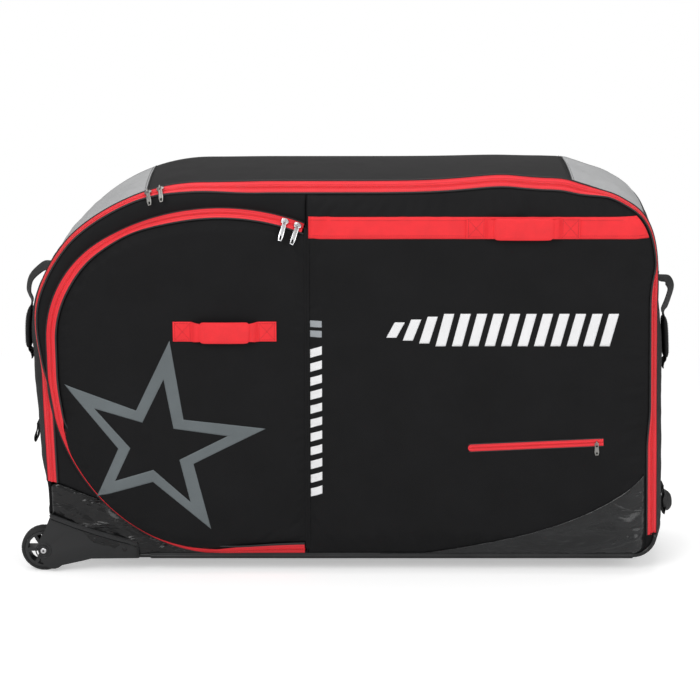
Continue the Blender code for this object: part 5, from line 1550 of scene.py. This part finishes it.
# The running gear at the lower left: a moulded black housing on each side, with a
# rivet, a lipped upper edge and a bead below it. In it a wheel with a rubber tyre on a
# six-spoked plastic rim turns on a steel axle.
HOUSING_PLASTIC = moulded("housing_plastic", (0.0105, 0.0110, 0.0118), 0.36, grain=900.0, bump=0.12,
                          mottle=0.14, wear=0.5)
RIM_PLASTIC = moulded("rim_plastic", (0.0140, 0.0142, 0.0150), 0.36, grain=700.0, bump=0.08, mottle=0.12,
                      wear=0.3)
TYRE_RUBBER = moulded("tyre_rubber", (0.0110, 0.0110, 0.0115), 0.72, grain=500.0, bump=0.25, mottle=0.2,
                      wear=0.2)


def steel(name, colour, rough, metal, mottle, wear):
    return moulded(name, colour, rough, metal, grain=300.0, bump=0.03, mottle=mottle, wear=wear)


BRIGHT_STEEL = steel("bright_steel", (0.72, 0.72, 0.73), 0.24, 1.0, 0.06, 0.6)
DARK_STEEL = steel("dark_plated_steel", (0.30, 0.295, 0.28), 0.26, 1.0, 0.10, 0.6)
BLACKENED_STEEL = steel("blackened_steel", (0.020, 0.020, 0.021), 0.35, 0.6, 0.10, 0.4)
WHEEL_R, WHEEL_X, REAR_IN = 0.0485, -0.645, 0.024


def eased_copy(node, name, material, body, slot, bevel, steps=2):
    """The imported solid's own form with its moulded edges rounded off."""
    part = bmesh.new()
    part.from_mesh(nodes[node].data)
    bmesh.ops.transform(part, matrix=nodes[node].matrix_world, verts=part.verts)
    bmesh.ops.remove_doubles(part, verts=part.verts, dist=0.00002)
    bmesh.ops.dissolve_limit(part, angle_limit=math.radians(1.5), verts=part.verts, edges=part.edges)
    mesh = bpy.data.meshes.new(name)
    part.to_mesh(mesh)
    part.free()
    obj = stand(name, mesh)
    edge = obj.modifiers.new("rounded", "BEVEL")
    edge.width, edge.segments = bevel, steps
    edge.limit_method, edge.angle_limit = "ANGLE", math.radians(35)
    made = keep_plain(obj)
    made.shade_smooth()
    made.set_sharp_from_angle(angle=math.radians(32))
    return fit(obj, material, body, slot, node)


def housing_line(back_by, inset=0.0):
    """The side plate's upper edge, tail first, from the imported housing's own sizes."""
    points = []
    for n in range(25):
        share = n / 24
        z = mix(0.039, 0.099, share) - 0.004 * math.sin(math.pi * share)
        points.append((mix(-0.447, -0.626, share) + back_by, BASE + z - inset))
    return points


for facing, tag, face_y, back_by in ((1, "front", FRONT, 0.0), (-1, "rear", BACK + 0.0073, REAR_IN)):
    eased_copy("wheel_housing_" + tag, "housing_shell_" + tag, HOUSING_PLASTIC, "shell", "plastic", 0.0009)
    plate = face_y - facing * 0.0053
    down = Vector((0, -facing, 0))

    def raised(name, line, wide, high, material, slot="plastic", ring=False):
        frames = []
        for k, (x, z) in enumerate(line):
            a, b = beside(line, k)
            if ring:
                a, b = line[k - 1], line[(k + 1) % len(line)]
            run = Vector((b[0] - a[0], 0, b[1] - a[1])).normalized()
            frames.append((Vector((x, plate, z)), run.cross(down), down))
        shape = [(wide * math.cos(a), high * max(math.sin(a), -0.2)) for a in full_turn(14)]
        return fit(extrude(name, frames, shape, ring=ring), material, "shell", slot)

    # Lip along the sloping edge, which turns down round the tail, and a bead below it
    slope = housing_line(back_by, 0.0022)[::-1]
    turn_at, tail_r = (slope[-1][0] - 0.006, slope[-1][1] - 0.007), 0.0075
    round_off = [(turn_at[0] + tail_r * math.sin(a), turn_at[1] + tail_r * math.cos(a)) for a in
                 (math.pi / 2 * n / 8 for n in range(9))]
    tail = [(turn_at[0] + tail_r, mix(turn_at[1], BASE + 0.002, n / 10)) for n in range(1, 11)]
    lip_line = [p for p in slope if p[0] < turn_at[0] - 0.002] + round_off + tail
    raised("housing_lip_" + tag, lip_line, 0.0021, 0.0052, HOUSING_PLASTIC)
    bead = [(x, z - 0.0098) for x, z in slope if x < turn_at[0] - 0.004]
    raised("housing_bead_" + tag, bead, 0.0013, 0.0046, HOUSING_PLASTIC)
    hub = (WHEEL_X + back_by, WHEEL_R)
    for ring_name, radius, wide, high in (("hub_ring_outer", 0.0158, 0.0013, 0.0013),
                                          ("hub_ring_inner", 0.0102, 0.0012, 0.0016)):
        raised(ring_name + "_" + tag, circle(hub, radius, 48), wide, high, HOUSING_PLASTIC, ring=True)
    eased_copy("axle_" + tag, "axle_pin_" + tag, BRIGHT_STEEL, "shell", "silver", 0.0003, 1)
    eased_copy("housing_rivet_" + tag, "rivet_cap_" + tag, BLACKENED_STEEL, "shell", "silver", 0.0004, 2)
    raised("axle_socket_" + tag, circle(hub, 0.0014, 24), 0.00145, 0.0036, BLACKENED_STEEL, slot="silver",
           ring=True)

    # Wheel: a rounded tyre with a shallow tread, and the rim with eased spokes
    wheel_body = "wheel_" + tag
    low_corner, high_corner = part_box("wheel_tyre_" + tag)
    mid_y, half_w = (low_corner[1] + high_corner[1]) / 2, (high_corner[1] - low_corner[1]) / 2
    near = [(0.0407, -half_w), (0.0440, -half_w), (0.0466, -half_w * 0.86), (0.0481, -half_w * 0.58),
            (WHEEL_R, -half_w * 0.2)]
    section = near + [(radius, -across) for radius, across in near[::-1]]
    frames = []
    for n, a in enumerate(full_turn(144)):
        out = Vector((math.cos(a), 0, math.sin(a))) * (1 - (0.009 if n % 6 == 0 else 0.0))
        frames.append((Vector((hub[0], mid_y, hub[1])), out, Vector((0, 1, 0))))
    tyre = extrude("tyre_" + tag, frames, section, ring=True)
    fit(tyre, TYRE_RUBBER, wheel_body, "rubber", "wheel_tyre_" + tag)
    eased_copy("wheel_rim_" + tag, "rim_" + tag, RIM_PLASTIC, wheel_body, "plastic", 0.0007)


# Zip sliders and their pulls are die-cast: dark plated on the main and small zips,
# bright on the wheel pocket's. Their edges are rounded, and so are those of the two
# plastic buckles on the tie straps.
for zip_name in ("main_left", "main_right", "pocket_left", "pocket_right", "small"):
    metal, finish = (BRIGHT_STEEL, "silver") if "pocket" in zip_name else (DARK_STEEL, "gunmetal")
    eased_copy(zip_name + "_slider", zip_name + "_slider_cast", metal, zip_name + "_slider", finish, 0.00045)
    eased_copy(zip_name + "_pull", zip_name + "_pull_cast", metal, zip_name + "_pull", finish, 0.00030)
for tag in ("left", "right"):
    eased_copy("tie_buckle_" + tag, "buckle_" + tag, RIM_PLASTIC, "shell", "plastic", 0.0015, 3)


# Fabric hinges: the flap folds down on a strip of the base's coated cloth, and the
# pocket's door turns on a strip of black cloth along the seam. Each strip is a ridge
# laid along its line; it rides on neither of the two bodies that it joins.
def hinge_strip(name, line, wide, span, material, high=0.0007):
    shape = [(-wide, -high * 0.4), (-wide, high * 0.4), (-wide * 0.55, high), (-wide * 0.18, high),
             (0.0, high + 0.0008), (wide * 0.18, high), (wide * 0.55, high), (wide, high * 0.4),
             (wide, -high * 0.4), (0.0, -high)]
    up = Vector((0, -1, 0))
    frames = [(p, travel.cross(up).normalized(), up) for p, travel in zip(line, smooth_travel(line))]
    strip = extrude(name, frames, shape)
    strip.data.materials.append(material)
    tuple(span[0])
    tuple(span[1])
    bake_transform(strip)
    return strip


seam_zs = np.linspace(BASE + 0.016, BASE + CASE_H - 0.026, 90)
seam_line = []
for z in seam_zs:
    y = min(on_right(SEAM_X + 0.0050, z), on_door(SEAM_X - 0.0050, z, 0.0))
    seam_line.append(Vector((SEAM_X, min(y, FRONT - 0.0035) - 0.0004, z)))
door_low_z, door_high_z = BASE + 0.024, BASE + 0.715
hinge_strip("seam_strip", [p for p in seam_line if door_low_z < p.z < door_high_z], 0.0052,
            ((SEAM_X + 0.002, FACE, 0.4), (SEAM_X - 0.002, FACE, 0.4)), BLACK_CLOTH)
low_line = [Vector((x, FRONT - 0.0030 - 0.0004 * ripple(x, 0.1, 0.05, 101), foot_z - 0.0030)) for x in
            np.linspace(-0.42, RIGHT_FOOT_X - FOOT_R, 140)]
hinge_strip("base_strip", low_line, 0.0062,
            ((0.0, FACE, foot_z - 0.0042), (0.0, FACE, foot_z - 0.0012)), BASE_PVC,
            high=0.0010)

# Seams between the wall panels: a felled ridge across the wall and a row of stitches
# on each side of it.
for tag, index in (("left_low", GREY_FROM), ("left_high", GREY_TO), ("right_high", GREY_AGAIN),
                   ("right_low", GREY_END)):
    def across_wall(along_by, lift):
        points = []
        nx, nz = OUTWARD[index]
        tx, tz = nz, -nx
        y0 = tape_back(index) + 0.001
        for n in range(32):
            t = n / 31
            out = swell(index, t) + lift
            points.append(Vector((EDGE[index][0] + nx * out + tx * along_by, mix(y0, BACK - 0.001, t),
                                  EDGE[index][1] + nz * out + tz * along_by)))
        return standing(points, (nx, 0, nz))
    ridge, ups = across_wall(0.0, 0.0002)
    frames = [(p, travel.cross(up), up) for p, travel, up in zip(ridge, smooth_travel(ridge), ups)]
    piping("wall_seam_" + tag, frames, 0.0013, BLACK_PIPING, "shell", "black_fabric")
    lay_pieces("wall_stitches_" + tag, [across_wall(0.0052, 0.0004), across_wall(-0.0052, 0.0004)],
               (0.0040, 0.0030, 0.0009, 0.0008, 0.06), BLACK_THREAD, "shell", "black_fabric")
